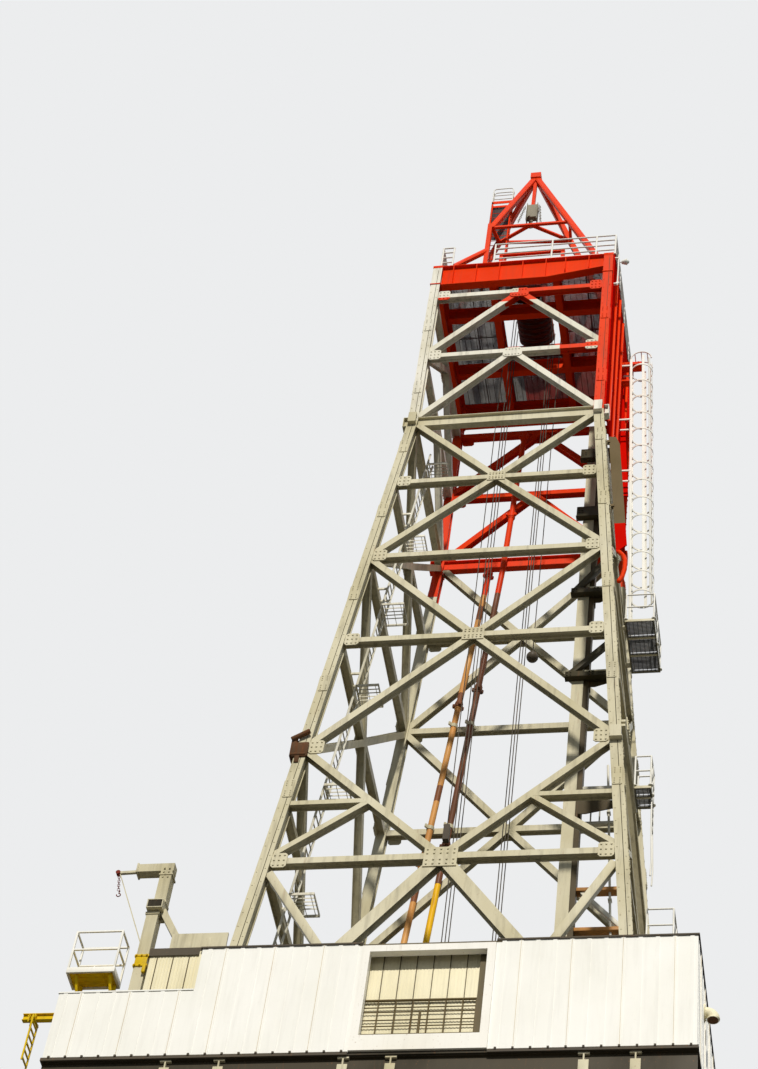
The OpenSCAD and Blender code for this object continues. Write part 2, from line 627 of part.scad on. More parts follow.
// Ladder tower at the left of the crown, with a small railed landing
module crown_tower() color("#D42A18") at_axis() {
  x0 = -815;
  x1 = -450;
  y0 = -826;
  y1 = -730;
  top = crown_z + 2990;
  for (x = [x0, x1 - 30], y = [y0, y1 - 30]) block([x, y, foot_z], [x + 30, y + 30, top]);
  block([x0, y0, top - 60], [x1, y1, top + 30]);
  block([x0 + 20, y1 - 14, crown_z + 1880], [x1 - 20, y1, top - 40]);
  for (x = [x0, x1 - 22], y = [y0, y1 - 22]) block([x, y, top], [x + 22, y + 22, top + 470]);
  for (z = [top + 230, top + 450]) {
    for (y = [y0, y1 - 20]) block([x0, y, z], [x1, y + 20, z + 20]);
    for (x = [x0, x1 - 20]) block([x, y0, z], [x + 20, y1, z + 20]);
  }
  for (z = [crown_z + 650, crown_z + 1250, crown_z + 2450]) block([x0, y1 - 30, z], [x1, y1 - 6, z + 40]);
  for (z = [crown_z + 650, crown_z + 1250, crown_z + 2450], x = [x0, x1 - 24]) block([x, y0 + 10, z], [x + 24, y1 - 10, z + 40]);
}

// Outline of a leaning fin on the right side: points are distance from the leaning leg line, height
function fin_x(z) = neck_hw + leg_w / 2 + taper * (n6_z - z);
module fin(y, t, pts) translate([0, y + t / 2, 0]) rotate([90, 0, 0]) linear_extrude(t)
  polygon([for (p = pts) [fin_x(p[1]) + p[0], p[1]]]);

// Sheet cladding on the right side above the belt, with two fins, and a leaning fin below
module right_cladding() color("#C0281A") at_axis() {
  x = neck_hw + leg_w / 2 + gap;
  z = n6_z + belt_h / 2 + 40;
  block([x, -neck_hw - 40, z], [x + 24, neck_hw + 60, crown_z - 40]);
  translate([0, 330, 0]) rotate([90, 0, 0]) linear_extrude(30) polygon([
    [x + 10, z], [x + 190, z], [x + 24, n8_z - 250], [x + 10, n8_z - 250]]);
  translate([0, 930, 0]) rotate([90, 0, 0]) linear_extrude(30) polygon([
    [x + 10, n8_z - 750], [x + 95, n8_z - 750], [x + 24, crown_z - 100], [x + 10, crown_z - 100]]);
  fin(fin_y, 24, [[22, n4_z + 804], [180, n4_z + 956], [180, n6_z - 156], [130, n6_z + 24], [22, n6_z + 44]]);
  block([neck_hw + belt_w / 2 + gap, fin_y - 30, n6_z - belt_h / 2], [fin_x(n6_z - 70) + 40, fin_y + 30, n6_z - belt_h / 2 + 50]);
  block([outer(g5_z - 25), fin_y - 30, g5_z - 25], [fin_x(g5_z) + 40, fin_y + 30, g5_z + 25]);
}

// Guide column on the right, with a bracket to the face at each girt
gc_x = 1050;
gc_y = 800;
gc_w = 240;
gc_d = 190;

// Haunched bracket plate from the column to the inner side of a girt
module guide_bracket(z, x1, y = gc_y, low = 170) difference() {
  translate([0, y + 60, 0]) rotate([90, 0, 0]) linear_extrude(120) polygon([
    [gc_x + gc_w / 2 - 20, z - low], [gc_x + gc_w / 2 + 90, z - low], [x1, z - 42], [x1, z + 42],
    [gc_x + gc_w / 2 + 60, z + 110], [gc_x + gc_w / 2 - 20, z + 110]]);
  block([gc_x + gc_w / 2 + 14, y - 46, z - 400], [x1 - 14, y + 80, z + 400]);
}

module guide_column() color("#D8D2B0") at_axis() {
  top = n7_z + 841;
  // where the right face's diagonal passes behind the column
  y_diag = gc_y - 140;
  z_diag = g3_z - (g3_z - n2_z) * y_diag / hw(n2_z);
  // a closed box on the left and the guide's open channel on its right
  translate([gc_x - 35, gc_y, deck_z]) linear_extrude(top - deck_z) difference() {
    square([gc_w - 70, gc_d], center = true);
    square([gc_w - 94, gc_d - 24], center = true);
  }
  translate([gc_x + gc_w / 2 - 72, gc_y - gc_d / 2 + 20, deck_z]) cube([72, 14, top - deck_z]);
  translate([gc_x + gc_w / 2 - 14, gc_y - gc_d / 2 + 20, deck_z]) cube([14, gc_d - 40, top - deck_z]);
  for (z = [g1_z, n4_z, g5_z]) guide_bracket(z, hw(z + 42) - bar_d / 2 / cos(theta) - gap);
  guide_bracket(z_diag, hw(z_diag + 42) - bar_d / 2 / cos(theta) - gap, y_diag);
  guide_bracket(n6_z + belt_h / 2 - 42, neck_hw - belt_w / 2 - gap);
  guide_bracket(n7_z, neck_hw - bar_d / 2 - gap);
}

// Two standpipes that follow the rear face
pipe_r = 45;
module standpipes() color("#E09A50") at_axis() {
  y0 = hw0 - 105;
  foot = deck_z + 15;
  za = n6_z - 235;
  a = [[-hw0 + 513, y0, foot], [-578, hw(za) - 105, za]];
  b = [[-hw0 + 896, y0, foot], [-370, neck_hw - 115, za - 18], [-243, neck_hw - 115, n8_z - 150]];
  for (p = [a[0], b[0]]) translate([p[0], p[1], deck_z]) cylinder(r = 75, h = 40, $fn = 24);
  tube(a[0], a[1], pipe_r);
  tube(b[0], b[1], pipe_r);
  translate(b[1]) sphere(r = pipe_r * 1.2, $fn = 24);
  tube(b[1], b[2], pipe_r);
}

// Taut hoisting and tugger lines, with the ball weight and the hook block
module drilling_lines() color("#4A4038") at_axis() {
  r = 7;
  for (i = [0:5]) let (k = i % 2 == 0 ? -1 : 1, x = k * (sheave_r + r + gap / 2), y = sheave_y(i))
    tube([x, y, deck_z + gap / 2], [x, y, sheave_z], r, 8);
  x1 = cross_x - 55 - r - gap;
  for (x = [-x1, x1]) tube([x, 0, x < 0 ? hook_z + 260 : ball_z + 75], [x, 0, crown_z - 150], r, 8);
  translate([x1, 0, ball_z]) sphere(r = 85, $fn = 20);
  block([-x1 - 40, -40, hook_z], [-x1 + 40, 40, hook_z + 270]);
}

// Foot of the inner ladder's line at a height
function lp(z) = [-(hw(z) - 190), -(hw(z) - 650), z];

// Ladder inside the left face, with a landing at each flight
module inner_ladder() color("#D8D2B0") at_axis() {
  for (d = [-110, 110]) box_bar(lp(deck_z) + [0, d, 0], lp(n6_z - 60) + [0, d, 0], 30, 16, [0, 1, 0]);
  n = floor((n6_z - 200 - deck_z) / rung_pitch);
  for (i = [1:n]) let (p = lp(deck_z + i * rung_pitch)) block(p - [8, 108, 8], p + [8, 108, 8]);
  for (z = [g1_z - 28, n2_z - 117, g3_z - 336, n4_z - 451, g5_z - 674, n6_z - 416]) let (p = lp(z))
    block([p[0] + 9, p[1] - 190, z - 40], [p[0] + 330, p[1] + 210, z]);
  for (z = [g1_z, g3_z, n4_z, g5_z], d = [-110, 110]) let (p = lp(z))
    block([-(hw(z + 20) - bar_d / 2 / cos(theta) - gap), p[1] + d - 12, z - 20], [p[0] - 9, p[1] + d + 12, z + 20]);
}

// Caged ladder on the right side, from the platform to under the crown, leaning in as it rises
cage_x = neck_hw + 585;
cage_y = 120;
cage_lean = 1.45;
cage_z0 = n4_z + 60;
module caged_ladder() color("#F4F4EE") at_axis() {
  r = 175;
  rise = n8_z - cage_z0;
  zc = 15160 - cage_z0;
  translate([cage_x, cage_y, cage_z0]) rotate([0, -cage_lean, 0]) {
    for (y = [-100, 100]) block([-r - 10, y - 12, 0], [-r + 30, y + 12, rise]);
    n = floor((rise - 60) / rung_pitch);
    for (i = [0:n]) block([-r - 4, -90, 40 + i * rung_pitch], [-r + 12, 90, 56 + i * rung_pitch]);
    m = floor((rise - zc - 40) / 440);
    for (i = [0:m]) translate([0, 0, zc + i * 440]) difference() {
      cylinder(r = r, h = 24, $fn = 12);
      translate([0, 0, -10]) cylinder(r = r - 10, h = 44, $fn = 12);
    }
    for (a = [-75, -25, 25, 75]) rotate([0, 0, a]) translate([r - 13, -12, zc]) cube([8, 24, rise - zc]);
  }
  for (z = [n6_z + 400, n7_z, n8_z - 200], y = [-100, 100]) block([neck_hw + leg_w / 2 + 24 + gap * 2, cage_y + y - 10, z],
    [cage_x - r + 10 - tan(cage_lean) * (z - cage_z0), cage_y + y + 10, z + 30]);
}

// Railed platforms on the right face
function outer(z) = hw(z) + bar_d / 2 / cos(theta) + gap;

module platform(x0, x1, y0, y1, z) {
  block([x0, y0, z - 50], [x1, y1, z]);
  for (x = [x0 + 12, x1 - 12], y = [y0 + 12, y1 - 12]) block([x - 12, y - 12, z - 10], [x + 12, y + 12, z + rail_h]);
  for (t = [rail_h / 2, rail_h - 22]) {
    for (y = [y0, y1 - 18]) block([x0, y, z + t], [x1, y + 18, z + t + 22]);
    block([x1 - 18, y0, z + t], [x1, y1, z + t + 22]);
  }
}

module side_platforms() color("#C9C4AE") at_axis() {
  // at the second leg node, under the caged ladder
  x4 = hw(n4_z) + 132;
  platform(x4, x4 + 410, -330, 640, n4_z);
  for (y = [-200, 500]) block([outer(n4_z - 46), y - 30, n4_z - 46], [x4 + 10, y + 30, n4_z - 4]);
  // above the first leg node, carried on two arms from the leg
  z2 = n2_z + 297;
  x2 = hw(z2) + 129;
  platform(x2, x2 + 220, -860, -490, z2);
  for (z = [z2 - 130, z2 - 46]) block([hw(z) + leg_w / 2 + gap, -hw(z) - 60, z], [x2 + 8, -500, z + 40]);
  // over the first girt
  z1 = g1_z + 277;
  x1 = hw(z1) + 118;
  platform(x1, x1 + 345, -300, 400, z1);
  for (y = [-250, 350]) {
    block([outer(g1_z - 40), y - 30, g1_z - 40], [x1 + 345, y + 30, g1_z + 40]);
    for (x = [x1 + 15, x1 + 285]) block([x, y - 25, g1_z], [x + 50, y + 25, z1 - 40]);
  }
}

substructure_left();
substructure_right();
substructure_spreaders();
floor_beams();
drill_floor();
windwall_front_left();
windwall_front_right();
windwall_low();
windwall_left();
windwall_right();
windwall_rear();
inner_wall();
v_door_frame();
v_door_rail();
side_basket();
davit_post();
davit_arm();
vent_cowl();
stub_beam();
leg_front_left();
leg_front_right();
leg_rear_left();
leg_rear_right();
bracing_front();
bracing_rear();
bracing_left();
bracing_right();
neck_front();
neck_rear();
neck_left();
neck_right();
belt_beams();
crown_frame();
crown_floor();
crown_block();
gin_pole();
crown_handrail();
crown_tower();
right_cladding();
guide_column();
standpipes();
drilling_lines();
inner_ladder();
caged_ladder();
side_platforms();
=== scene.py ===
# %% [markdown]
# # A half-scale land drilling rig
# The rig is a square steel tower, the derrick, on a walled drill floor. The frame brings every steel part in
# metres. This lesson gives each part its paint, sheet or grating, adds what is too small for the frame, such as
# bolts and ribs, and sets the camera where the photographer stood.

# %% Load the frame
import bpy, bmesh, math
from mathutils import Matrix, Vector


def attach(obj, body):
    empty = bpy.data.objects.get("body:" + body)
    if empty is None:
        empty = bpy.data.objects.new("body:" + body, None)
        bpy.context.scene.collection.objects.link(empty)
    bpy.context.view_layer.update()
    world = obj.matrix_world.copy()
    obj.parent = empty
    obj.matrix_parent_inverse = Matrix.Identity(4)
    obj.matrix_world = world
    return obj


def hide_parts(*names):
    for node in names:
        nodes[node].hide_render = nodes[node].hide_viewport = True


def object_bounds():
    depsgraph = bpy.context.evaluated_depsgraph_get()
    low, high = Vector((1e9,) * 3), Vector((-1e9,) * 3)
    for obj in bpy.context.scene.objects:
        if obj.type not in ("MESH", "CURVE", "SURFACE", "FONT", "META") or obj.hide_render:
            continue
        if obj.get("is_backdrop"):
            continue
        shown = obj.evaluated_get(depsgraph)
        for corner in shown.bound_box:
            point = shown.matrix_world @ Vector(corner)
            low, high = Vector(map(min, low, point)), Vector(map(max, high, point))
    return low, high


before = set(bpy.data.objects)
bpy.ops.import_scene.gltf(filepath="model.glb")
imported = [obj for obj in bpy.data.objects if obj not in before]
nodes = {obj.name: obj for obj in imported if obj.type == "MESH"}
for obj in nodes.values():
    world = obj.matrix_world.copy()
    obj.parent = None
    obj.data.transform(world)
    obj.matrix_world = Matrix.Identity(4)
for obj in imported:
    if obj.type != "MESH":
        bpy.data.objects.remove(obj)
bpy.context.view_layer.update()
AXIS = 0.69                         # the derrick's axis along X, in metres
NECK_HALF, NECK_Z = 1400, 17716     # half the neck's width and the height of its foot, in millimetres
TAPER = 0.073                       # how far a leg leans in for each millimetre that it rises
DECK_Z = 4440                       # the top of the deck

# %% [markdown]
# ## Camera
# The photographer stood far below the drill floor and to its right, and looked up by about fifty degrees. The
# place and the angles were solved from the derrick's joints in the picture. Such a low eye lies under the studio
# floor, so the floor is made see-through from below. A camera's angles are easiest to follow as three turns.

# %% Camera
EYE = (4.778 + AXIS, -22.824, -12.484)
TURN, PITCH, ROLL = 16.466, 50.922, 9.611
eye_data = bpy.data.cameras.new("camera")
eye = bpy.data.objects.new("camera", eye_data)
bpy.context.scene.collection.objects.link(eye)
eye.matrix_world = (Matrix.Translation(EYE) @ Matrix.Rotation(math.radians(TURN), 4, "Z")
                    @ Matrix.Rotation(math.radians(90 + PITCH), 4, "X") @ Matrix.Rotation(math.radians(ROLL), 4, "Z"))
eye_data.sensor_width, eye_data.lens = 36, 83.83
eye_data.shift_x, eye_data.shift_y = -0.0054, 0.0015
eye_data.clip_end = 400
bpy.context.scene.camera = eye
print("camera at", EYE)

# %% [markdown]
# ## Small helpers for materials
# A material is a small network of nodes. One function adds a node with its settings and its inputs, and another
# turns a hex colour, as a colour picker shows it, into the linear numbers that Blender computes with.

# %% Node and colour helpers
def linear(hex_colour):
    """A hex colour on the sRGB curve, as linear red, green, blue and a full alpha."""
    channels = [int(hex_colour[i:i + 2], 16) / 255 for i in (1, 3, 5)]
    return tuple(c / 12.92 if c <= 0.04045 else ((c + 0.055) / 1.055) ** 2.4 for c in channels) + (1.0,)


def add(tree, kind, links=None, **settings):
    """Adds a node. An input takes a number, a colour, a socket, or a node, whose first output is then meant."""
    node = tree.nodes.new("ShaderNode" + kind)
    for key, value in settings.items():
        setattr(node, key, value)
    for key, value in (links or {}).items():
        if isinstance(value, bpy.types.Node):
            value = value.outputs[0]
        if isinstance(value, bpy.types.NodeSocket):
            tree.links.new(value, node.inputs[key])
        else:
            node.inputs[key].default_value = value
    return node


def empty_material(name):
    material = bpy.data.materials.new(name)
    material.use_nodes = True
    material.node_tree.nodes.clear()
    return material, material.node_tree


print("helpers ready")

# %% [markdown]
# ## Stage and light
# The floor and the background are plain and pale. The floor lets a camera ray through from below, so that the
# low eye sees the rig, and it still bounces light up under the steel. One soft lamp stands in for a high sun from
# the front, and the sky fills the shade.

# %% Stage, lamps and world
def studio_floor():
    bpy.ops.object.select_all(action="DESELECT")
    bpy.ops.mesh.primitive_plane_add(size=240, location=(AXIS, 0, -0.002))
    floor = bpy.context.object
    floor.name = "studio_floor"
    material, tree = empty_material("matt studio floor")
    seen = add(tree, "LightPath").outputs["Is Camera Ray"]
    tone = add(tree, "Mix", {"Factor": seen, 6: linear("#77756F"), 7: linear("#D9D8D4")}, data_type="RGBA")
    paper = add(tree, "BsdfDiffuse", {"Color": tone.outputs[2]})
    below = add(tree, "NewGeometry").outputs["Backfacing"]
    open_share = add(tree, "Math", {0: below, 1: seen}, operation="MULTIPLY")
    blend = add(tree, "MixShader", {0: open_share, 1: paper, 2: add(tree, "BsdfTransparent")})
    add(tree, "OutputMaterial", {"Surface": blend})
    floor.data.materials.append(material)
    floor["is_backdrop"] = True


def lamp(name, azimuth, elevation, strength, angle, colour="#FFFFFF"):
    data = bpy.data.lights.new(name, "SUN")
    data.energy, data.angle, data.color = strength, math.radians(angle), linear(colour)[:3]
    ob = bpy.data.objects.new(name, data)
    bpy.context.scene.collection.objects.link(ob)
    a, e = math.radians(azimuth), math.radians(elevation)
    back = Vector((math.sin(a) * math.cos(e), -math.cos(a) * math.cos(e), math.sin(e)))
    ob.rotation_mode = "QUATERNION"
    ob.rotation_quaternion = (-back).to_track_quat("-Z", "Y")


def studio_world():
    world = bpy.data.worlds.new("studio")
    bpy.context.scene.world = world
    world.use_nodes = True
    tree = world.node_tree
    tree.nodes.clear()
    rays = add(tree, "LightPath").outputs
    seen = add(tree, "Math", {0: rays["Is Camera Ray"], 1: rays["Is Transmission Ray"]}, operation="MAXIMUM")
    seen = add(tree, "Math", {0: seen, 1: rays["Is Glossy Ray"]}, operation="MAXIMUM")
    soft = add(tree, "Background", {"Color": linear("#DCE8F6"), "Strength": 0.3})
    shown = add(tree, "Background", {"Color": linear("#ECEDEE"), "Strength": 1.0})
    blend = add(tree, "MixShader", {0: seen, 1: soft, 2: shown})
    add(tree, "OutputWorld", {"Surface": blend})


studio_floor()
studio_world()
lamp("sun", 9, 35, 3.4, 2, "#FFF9EE")
lamp("fill", 60, 20, 0.2, 60)
bpy.context.scene.view_settings.view_transform = "Standard"
print("stage ready")

# %% [markdown]
# ## Paint on rolled steel
# Derricks are painted with a thick alkyd enamel that chalks, picks up soot and weeps rust below bolts and edges.
# The paint could be one colour with a gloss, but years outdoors show as cloudy patches, downward streaks and
# brown freckles, so noises at real sizes drive the colour, and a fine one the orange peel. To the eye the paint is
# dull and a little blotchy, with no bright reflection. The freckles are drawn 26 mm wide, coarser than the real
# ones, so that they show from the camera.

# %% Enamel paint material
RUST, SOOT = "#8A5A34", "#4D4638"
PATCH, STREAK, RUN = (900, 900, 1300), (70, 70, 900), (45, 45, 500)     # grains in millimetres along X, Y and Z
WORN_AREA, FRECKLE, PEEL = (700, 700, 900), (26, 26, 30), (9, 9, 9)


def mapped(tree, size_mm):
    """Object coordinates, scaled so that a noise has grains of the given size along X, Y and Z."""
    coords = add(tree, "TexCoord").outputs["Object"]
    return add(tree, "Mapping", {"Vector": coords, "Scale": tuple(1000 / s for s in size_mm)})


def cloud(tree, size_mm, low, high, detail=4.0):
    """Soft patches of a real size: 0 where the noise is under low, 1 where it is over high."""
    noise = add(tree, "TexNoise", {"Vector": mapped(tree, size_mm), "Scale": 1.0, "Detail": detail,
                                   "Roughness": 0.55})
    edge = add(tree, "ValToRGB", {"Fac": noise})
    for stop, position, value in zip(edge.color_ramp.elements, (low, high), (0, 1)):
        stop.position, stop.color = position, (value, value, value, 1)
    return edge


def enamel(name, pair, rust=0.35, soot=0.35, gloss=(0.32, 0.6), zones=(), shine=0.1):
    """Weathered paint. pair is its fresh and its faded colour; a zone is a share and the pair that shows there."""
    material, tree = empty_material(name)
    patches = cloud(tree, PATCH, 0.35, 0.68)
    tones = [add(tree, "Mix", {"Factor": patches, 6: linear(fresh), 7: linear(faded)}, data_type="RGBA").outputs[2]
             for fresh, faded in [pair] + [other for _, other in zones]]
    grime = add(tree, "Math", {0: cloud(tree, STREAK, 0.5, 0.75), 1: soot}, operation="MULTIPLY")
    runs = add(tree, "Math", {0: cloud(tree, RUN, 0.6, 0.74), 1: cloud(tree, WORN_AREA, 0.5, 0.62)},
               operation="MULTIPLY")
    freckles = add(tree, "Math", {0: cloud(tree, FRECKLE, 0.64, 0.7, 6.0), 1: 0.8}, operation="MULTIPLY")
    weeping = add(tree, "Math", {0: runs, 1: freckles}, operation="MAXIMUM")
    stain = add(tree, "Math", {0: weeping, 1: rust}, operation="MULTIPLY")
    layers = [(share(tree), tone) for (share, _), tone in zip(zones, tones[1:])]
    colour = tones[0]
    for share, top in layers + [(grime, linear(SOOT)), (stain, linear(RUST))]:
        colour = add(tree, "Mix", {"Factor": share, 6: colour, 7: top}, data_type="RGBA").outputs[2]
    rough = add(tree, "MapRange", {"Value": patches, "To Min": gloss[0], "To Max": gloss[1]})
    peel = add(tree, "TexNoise", {"Vector": mapped(tree, PEEL), "Scale": 1.0, "Detail": 2.0})
    bump = add(tree, "Bump", {"Height": peel, "Strength": 0.12, "Distance": 0.002})
    shader = add(tree, "BsdfPrincipled", {"Base Color": colour, "Roughness": rough, "Normal": bump,
                                          "Specular IOR Level": shine})
    add(tree, "OutputMaterial", {"Surface": shader})
    return material


print("rust", linear(RUST)[:3], "soot", linear(SOOT)[:3])

# %% [markdown]
# ## Where a second colour starts
# Some members change colour along their length, as a painter leaves them. A mask could be painted by hand, but the
# borders are straight, so a zone is told by limits on the object's own coordinates.

# %% Zones
X, Y, Z = 0, 1, 2
PIPE_LEAN, PIPE_MIDDLE, YELLOW_TOP = 0.09136, AXIS - 2.071, 11.2    # X grows by the lean for each metre of height
BANDS_PER_METRE, BAND_SHARE = 0.55, 0.16


def place(tree, axis):
    coords = add(tree, "TexCoord").outputs["Object"]
    return add(tree, "SeparateXYZ", {"Vector": coords}).outputs[axis]


def within(*limits):
    """A zone: 1 where each axis named lies over its lower limit and under its upper one, if it has one."""
    def share(tree):
        tests = [add(tree, "Math", {0: place(tree, axis), 1: limit}, operation=test)
                 for axis, *ends in limits for limit, test in zip(ends, ("GREATER_THAN", "LESS_THAN"))]
        whole = tests[0]
        for test in tests[1:]:
            whole = add(tree, "Math", {0: whole, 1: test}, operation="MULTIPLY")
        return whole
    return share


def right_pipe(tree):
    """The right one of the two leaning pipes: what lies right of the line midway between them."""
    middle = add(tree, "Math", {0: place(tree, Z), 1: PIPE_LEAN, 2: PIPE_MIDDLE}, operation="MULTIPLY_ADD")
    return add(tree, "Math", {0: place(tree, X), 1: middle}, operation="GREATER_THAN")


def right_pipe_foot(tree):
    """The lower part of that pipe, which is yellow."""
    low = add(tree, "Math", {0: place(tree, Z), 1: YELLOW_TOP}, operation="LESS_THAN")
    return add(tree, "Math", {0: right_pipe(tree), 1: low}, operation="MULTIPLY")


def pipe_bands(tree):
    """A worn band on each 1.8 m of pipe."""
    lengths = add(tree, "Math", {0: place(tree, Z), 1: BANDS_PER_METRE}, operation="MULTIPLY")
    part = add(tree, "Math", {0: lengths}, operation="FRACT")
    return add(tree, "Math", {0: part, 1: BAND_SHARE}, operation="LESS_THAN")


print("zones ready")

# %% [markdown]
# ## The rig's paints
# Cream, white and red are the three house colours; each has a faded partner. Sheet is smoother and cleaner than
# rolled steel, so it takes less soot and a narrower gloss. Deck paint is worn matt by boots and pipe. The deck and
# the beams under the floor are painted dark, to near black, as painted shade over some real grime. White rails are
# wiped by gloves and stay bright. The standpipes have lost their ochre in a band on each length. Grease makes the
# sheaves and the rope dark and slightly wet.

# %% Paints
CREAM, WHITE = ("#D3CDB4", "#BDB595"), ("#E6E3D6", "#D2CDB8")
# The second red pair is the house red painted darker, as painted shade for the right cladding.
RED, SHADED_RED = ("#E23604", "#E8400E"), ("#C60C04", "#CC1408")
BLOCK_GREY = ("#9C9684", "#7D776A")
ABOVE_NECK = within((Z, NECK_Z / 1000))

cream = enamel("cream enamel", CREAM)
white = enamel("white enamel", WHITE, rust=0.25)
red = enamel("red enamel", RED, rust=0.12, soot=0.15, shine=0.04)
cream_then_red = enamel("cream enamel, red from the neck", CREAM, zones=((ABOVE_NECK, RED),))
rear_leg_paint = enamel("cream enamel, red higher up", CREAM, zones=((within((Z, 16.99)), RED),))
left_leg_paint = enamel("cream enamel, white from the neck", ("#D2CCB2", CREAM[1]), zones=((ABOVE_NECK, WHITE),))
front_neck_paint = enamel("white enamel with red ends", WHITE, rust=0.2, zones=(
    (within((Z, 21.05), (X, AXIS - 0.02)), RED), (within((Z, 20.86, 21.09)), RED),
    (within((Z, 19.399, 19.519), (X, AXIS + 0.73)), RED)))
pole_paint = enamel("red enamel round a grey block", RED, rust=0.12, soot=0.15, zones=(
    (within((Z, 24.555, 24.965), (X, AXIS - 0.19, AXIS - 0.01)), BLOCK_GREY),))
# Painted shade: the right cladding's red and its fin's cream are painted darker, for a side that the sun only grazes.
shaded_fin_paint = enamel("red enamel with a cream fin, darkened as painted shade", SHADED_RED, rust=0.08, soot=0.15, shine=0.0, zones=(
    (within((Z, 15.64, 17.765)), ("#7A6C54", "#6B5E46")),))
column_paint = enamel("cream enamel, bare channel", CREAM, rust=0.5, zones=(
    (within((X, AXIS + 1.098)), ("#554A34", "#463D2A")),))
belt_paint = enamel("cream enamel, white at the right, red at the rear", CREAM, zones=(
    (within((X, AXIS + 1.33)), ("#F2F0E6", "#E4E0D2")), (within((Y, 1.25)), RED)))
# Painted shade: the floor beams are painted near black for the shade under the deck, over some real grime.
shaded_beam_paint = enamel("floor beam enamel, grimy and darkened as painted shade", ("#4A4336", "#3A352A"), rust=0.5, soot=0.5)
white_sheet = enamel("white coated sheet", ("#F4F4F0", "#ECECE6"), rust=0.05, soot=0.08, gloss=(0.3, 0.45))
cream_sheet = enamel("cream coated sheet", ("#EFE8CB", "#E2DAB8"), rust=0.15, soot=0.15, gloss=(0.4, 0.6))
rusting_white = enamel("white coated sheet, rusting", ("#F4F3EE", "#ECE9DF"), rust=0.45, soot=0.08)
# Painted shade: the deck is painted dark for the shade under the walls, over real wear.
shaded_deck_paint = enamel("worn deck paint, darkened as painted shade", ("#454036", "#353128"), rust=0.7, soot=0.5, gloss=(0.6, 0.8))
rail_white = enamel("white handrail enamel", ("#F3F2EC", "#E8E6DC"), rust=0.12, soot=0.1)
rail_brown = enamel("olive handrail enamel", ("#6E6040", "#5A4E34"), rust=0.5, soot=0.3)
basket_yellow = enamel("yellow enamel", ("#E0BE10", "#CBAA1E"), rust=0.25, soot=0.25)
pipe_paint = enamel("pipe enamel in ochre, brown and yellow", ("#DDA460", "#C98A4A"), rust=0.7, soot=0.25, zones=(
    (pipe_bands, ("#8E5A3A", "#774830")), (right_pipe, ("#7A4C36", "#60402E")),
    (right_pipe_foot, ("#F6C11A", "#E9AE1C")), (within((Z, 16.9)), RED)))
sheave_paint = enamel("oily sheave paint", ("#7C2E1E", "#5A2418"), rust=0.5, soot=0.5)
rope = enamel("greased wire rope", ("#4A443C", "#5C5448"), rust=0.4, soot=0.4, gloss=(0.35, 0.5))
print("paints ready:", len(bpy.data.materials))

# %% [markdown]
# ## Paint on the frame's parts
# Each part of the frame that keeps its shape takes its finish from the list, by the node's name. The parts that
# are missing here are redrawn below in finer steel.

# %% Give the frame's parts their paint
FINISH = {
    cream: ["substructure_left", "substructure_right", "substructure_spreaders", "bracing_front", "bracing_rear",
            "bracing_left", "bracing_right", "davit_post", "davit_arm"],
    belt_paint: ["belt_beams"],
    shaded_beam_paint: ["floor_beams"],
    column_paint: ["guide_column"],
    pole_paint: ["gin_pole"],
    shaded_fin_paint: ["right_cladding"],
    left_leg_paint: ["leg_front_left"],
    white: ["neck_left"],
    cream_then_red: ["leg_front_right"],
    rear_leg_paint: ["leg_rear_left", "leg_rear_right"],
    front_neck_paint: ["neck_front"],
    red: ["neck_rear", "neck_right", "crown_frame"],
    rusting_white: ["v_door_frame"],
    white_sheet: ["windwall_front_left", "windwall_front_right", "windwall_right"],
    cream_sheet: ["windwall_left", "inner_wall", "vent_cowl"],
    shaded_deck_paint: ["drill_floor"],
    basket_yellow: ["stub_beam"],
    pipe_paint: ["standpipes"],
    rope: ["drilling_lines"],
}
for material, names in FINISH.items():
    for name in names:
        nodes[name].data.materials.clear()
        nodes[name].data.materials.append(material)
print("painted", sum(len(v) for v in FINISH.values()), "of", len(nodes), "parts")

# %% [markdown]
# ## Tools for the pieces
# Most pieces on a rig are short bars, plates and bolts. A round bar can be a curve with a bevel, but a cylinder
# primitive laid between two points keeps a clean count of faces. What repeats is modelled once: its mesh is
# copied to each place, and the copies are joined into one piece that rides on the rig.

# %% Places
def mm(x, y, z):
    """A point in millimetres about the derrick's axis, as the frame's metres."""
    return Vector((x / 1000 + AXIS, y / 1000, z / 1000))


def shift(x, y, z):
    return Matrix.Translation((x / 1000, y / 1000, z / 1000))


def at(x, y, z, turn=0, about="Z"):
    """The place of a copy: a point as in mm(), and a turn in degrees about one axis."""
    return Matrix.Translation(mm(x, y, z)) @ Matrix.Rotation(math.radians(turn), 4, about)


def half_width(z):
    """Half the derrick's width at a height, between the middles of its legs."""
    return NECK_HALF + TAPER * max(0, NECK_Z - z)


print("half width at the deck", half_width(DECK_Z))

# %% [markdown]
# A block is a cube primitive with its size applied, so that a bevel or an inset has the same width on every side.
# A selection is told by a test on each face, edge or vertex, since no mouse picks them here.

# %% Blocks and bars
def start():
    if bpy.context.mode != "OBJECT":
        bpy.ops.object.mode_set(mode="OBJECT")
    bpy.ops.object.select_all(action="DESELECT")


def settle(ob):
    """Puts the object's place, turn and size into its mesh, and makes it the active one."""
    start()
    ob.select_set(True)
    bpy.context.view_layer.objects.active = ob
    bpy.ops.object.transform_apply(location=True, rotation=True, scale=True)
    return ob


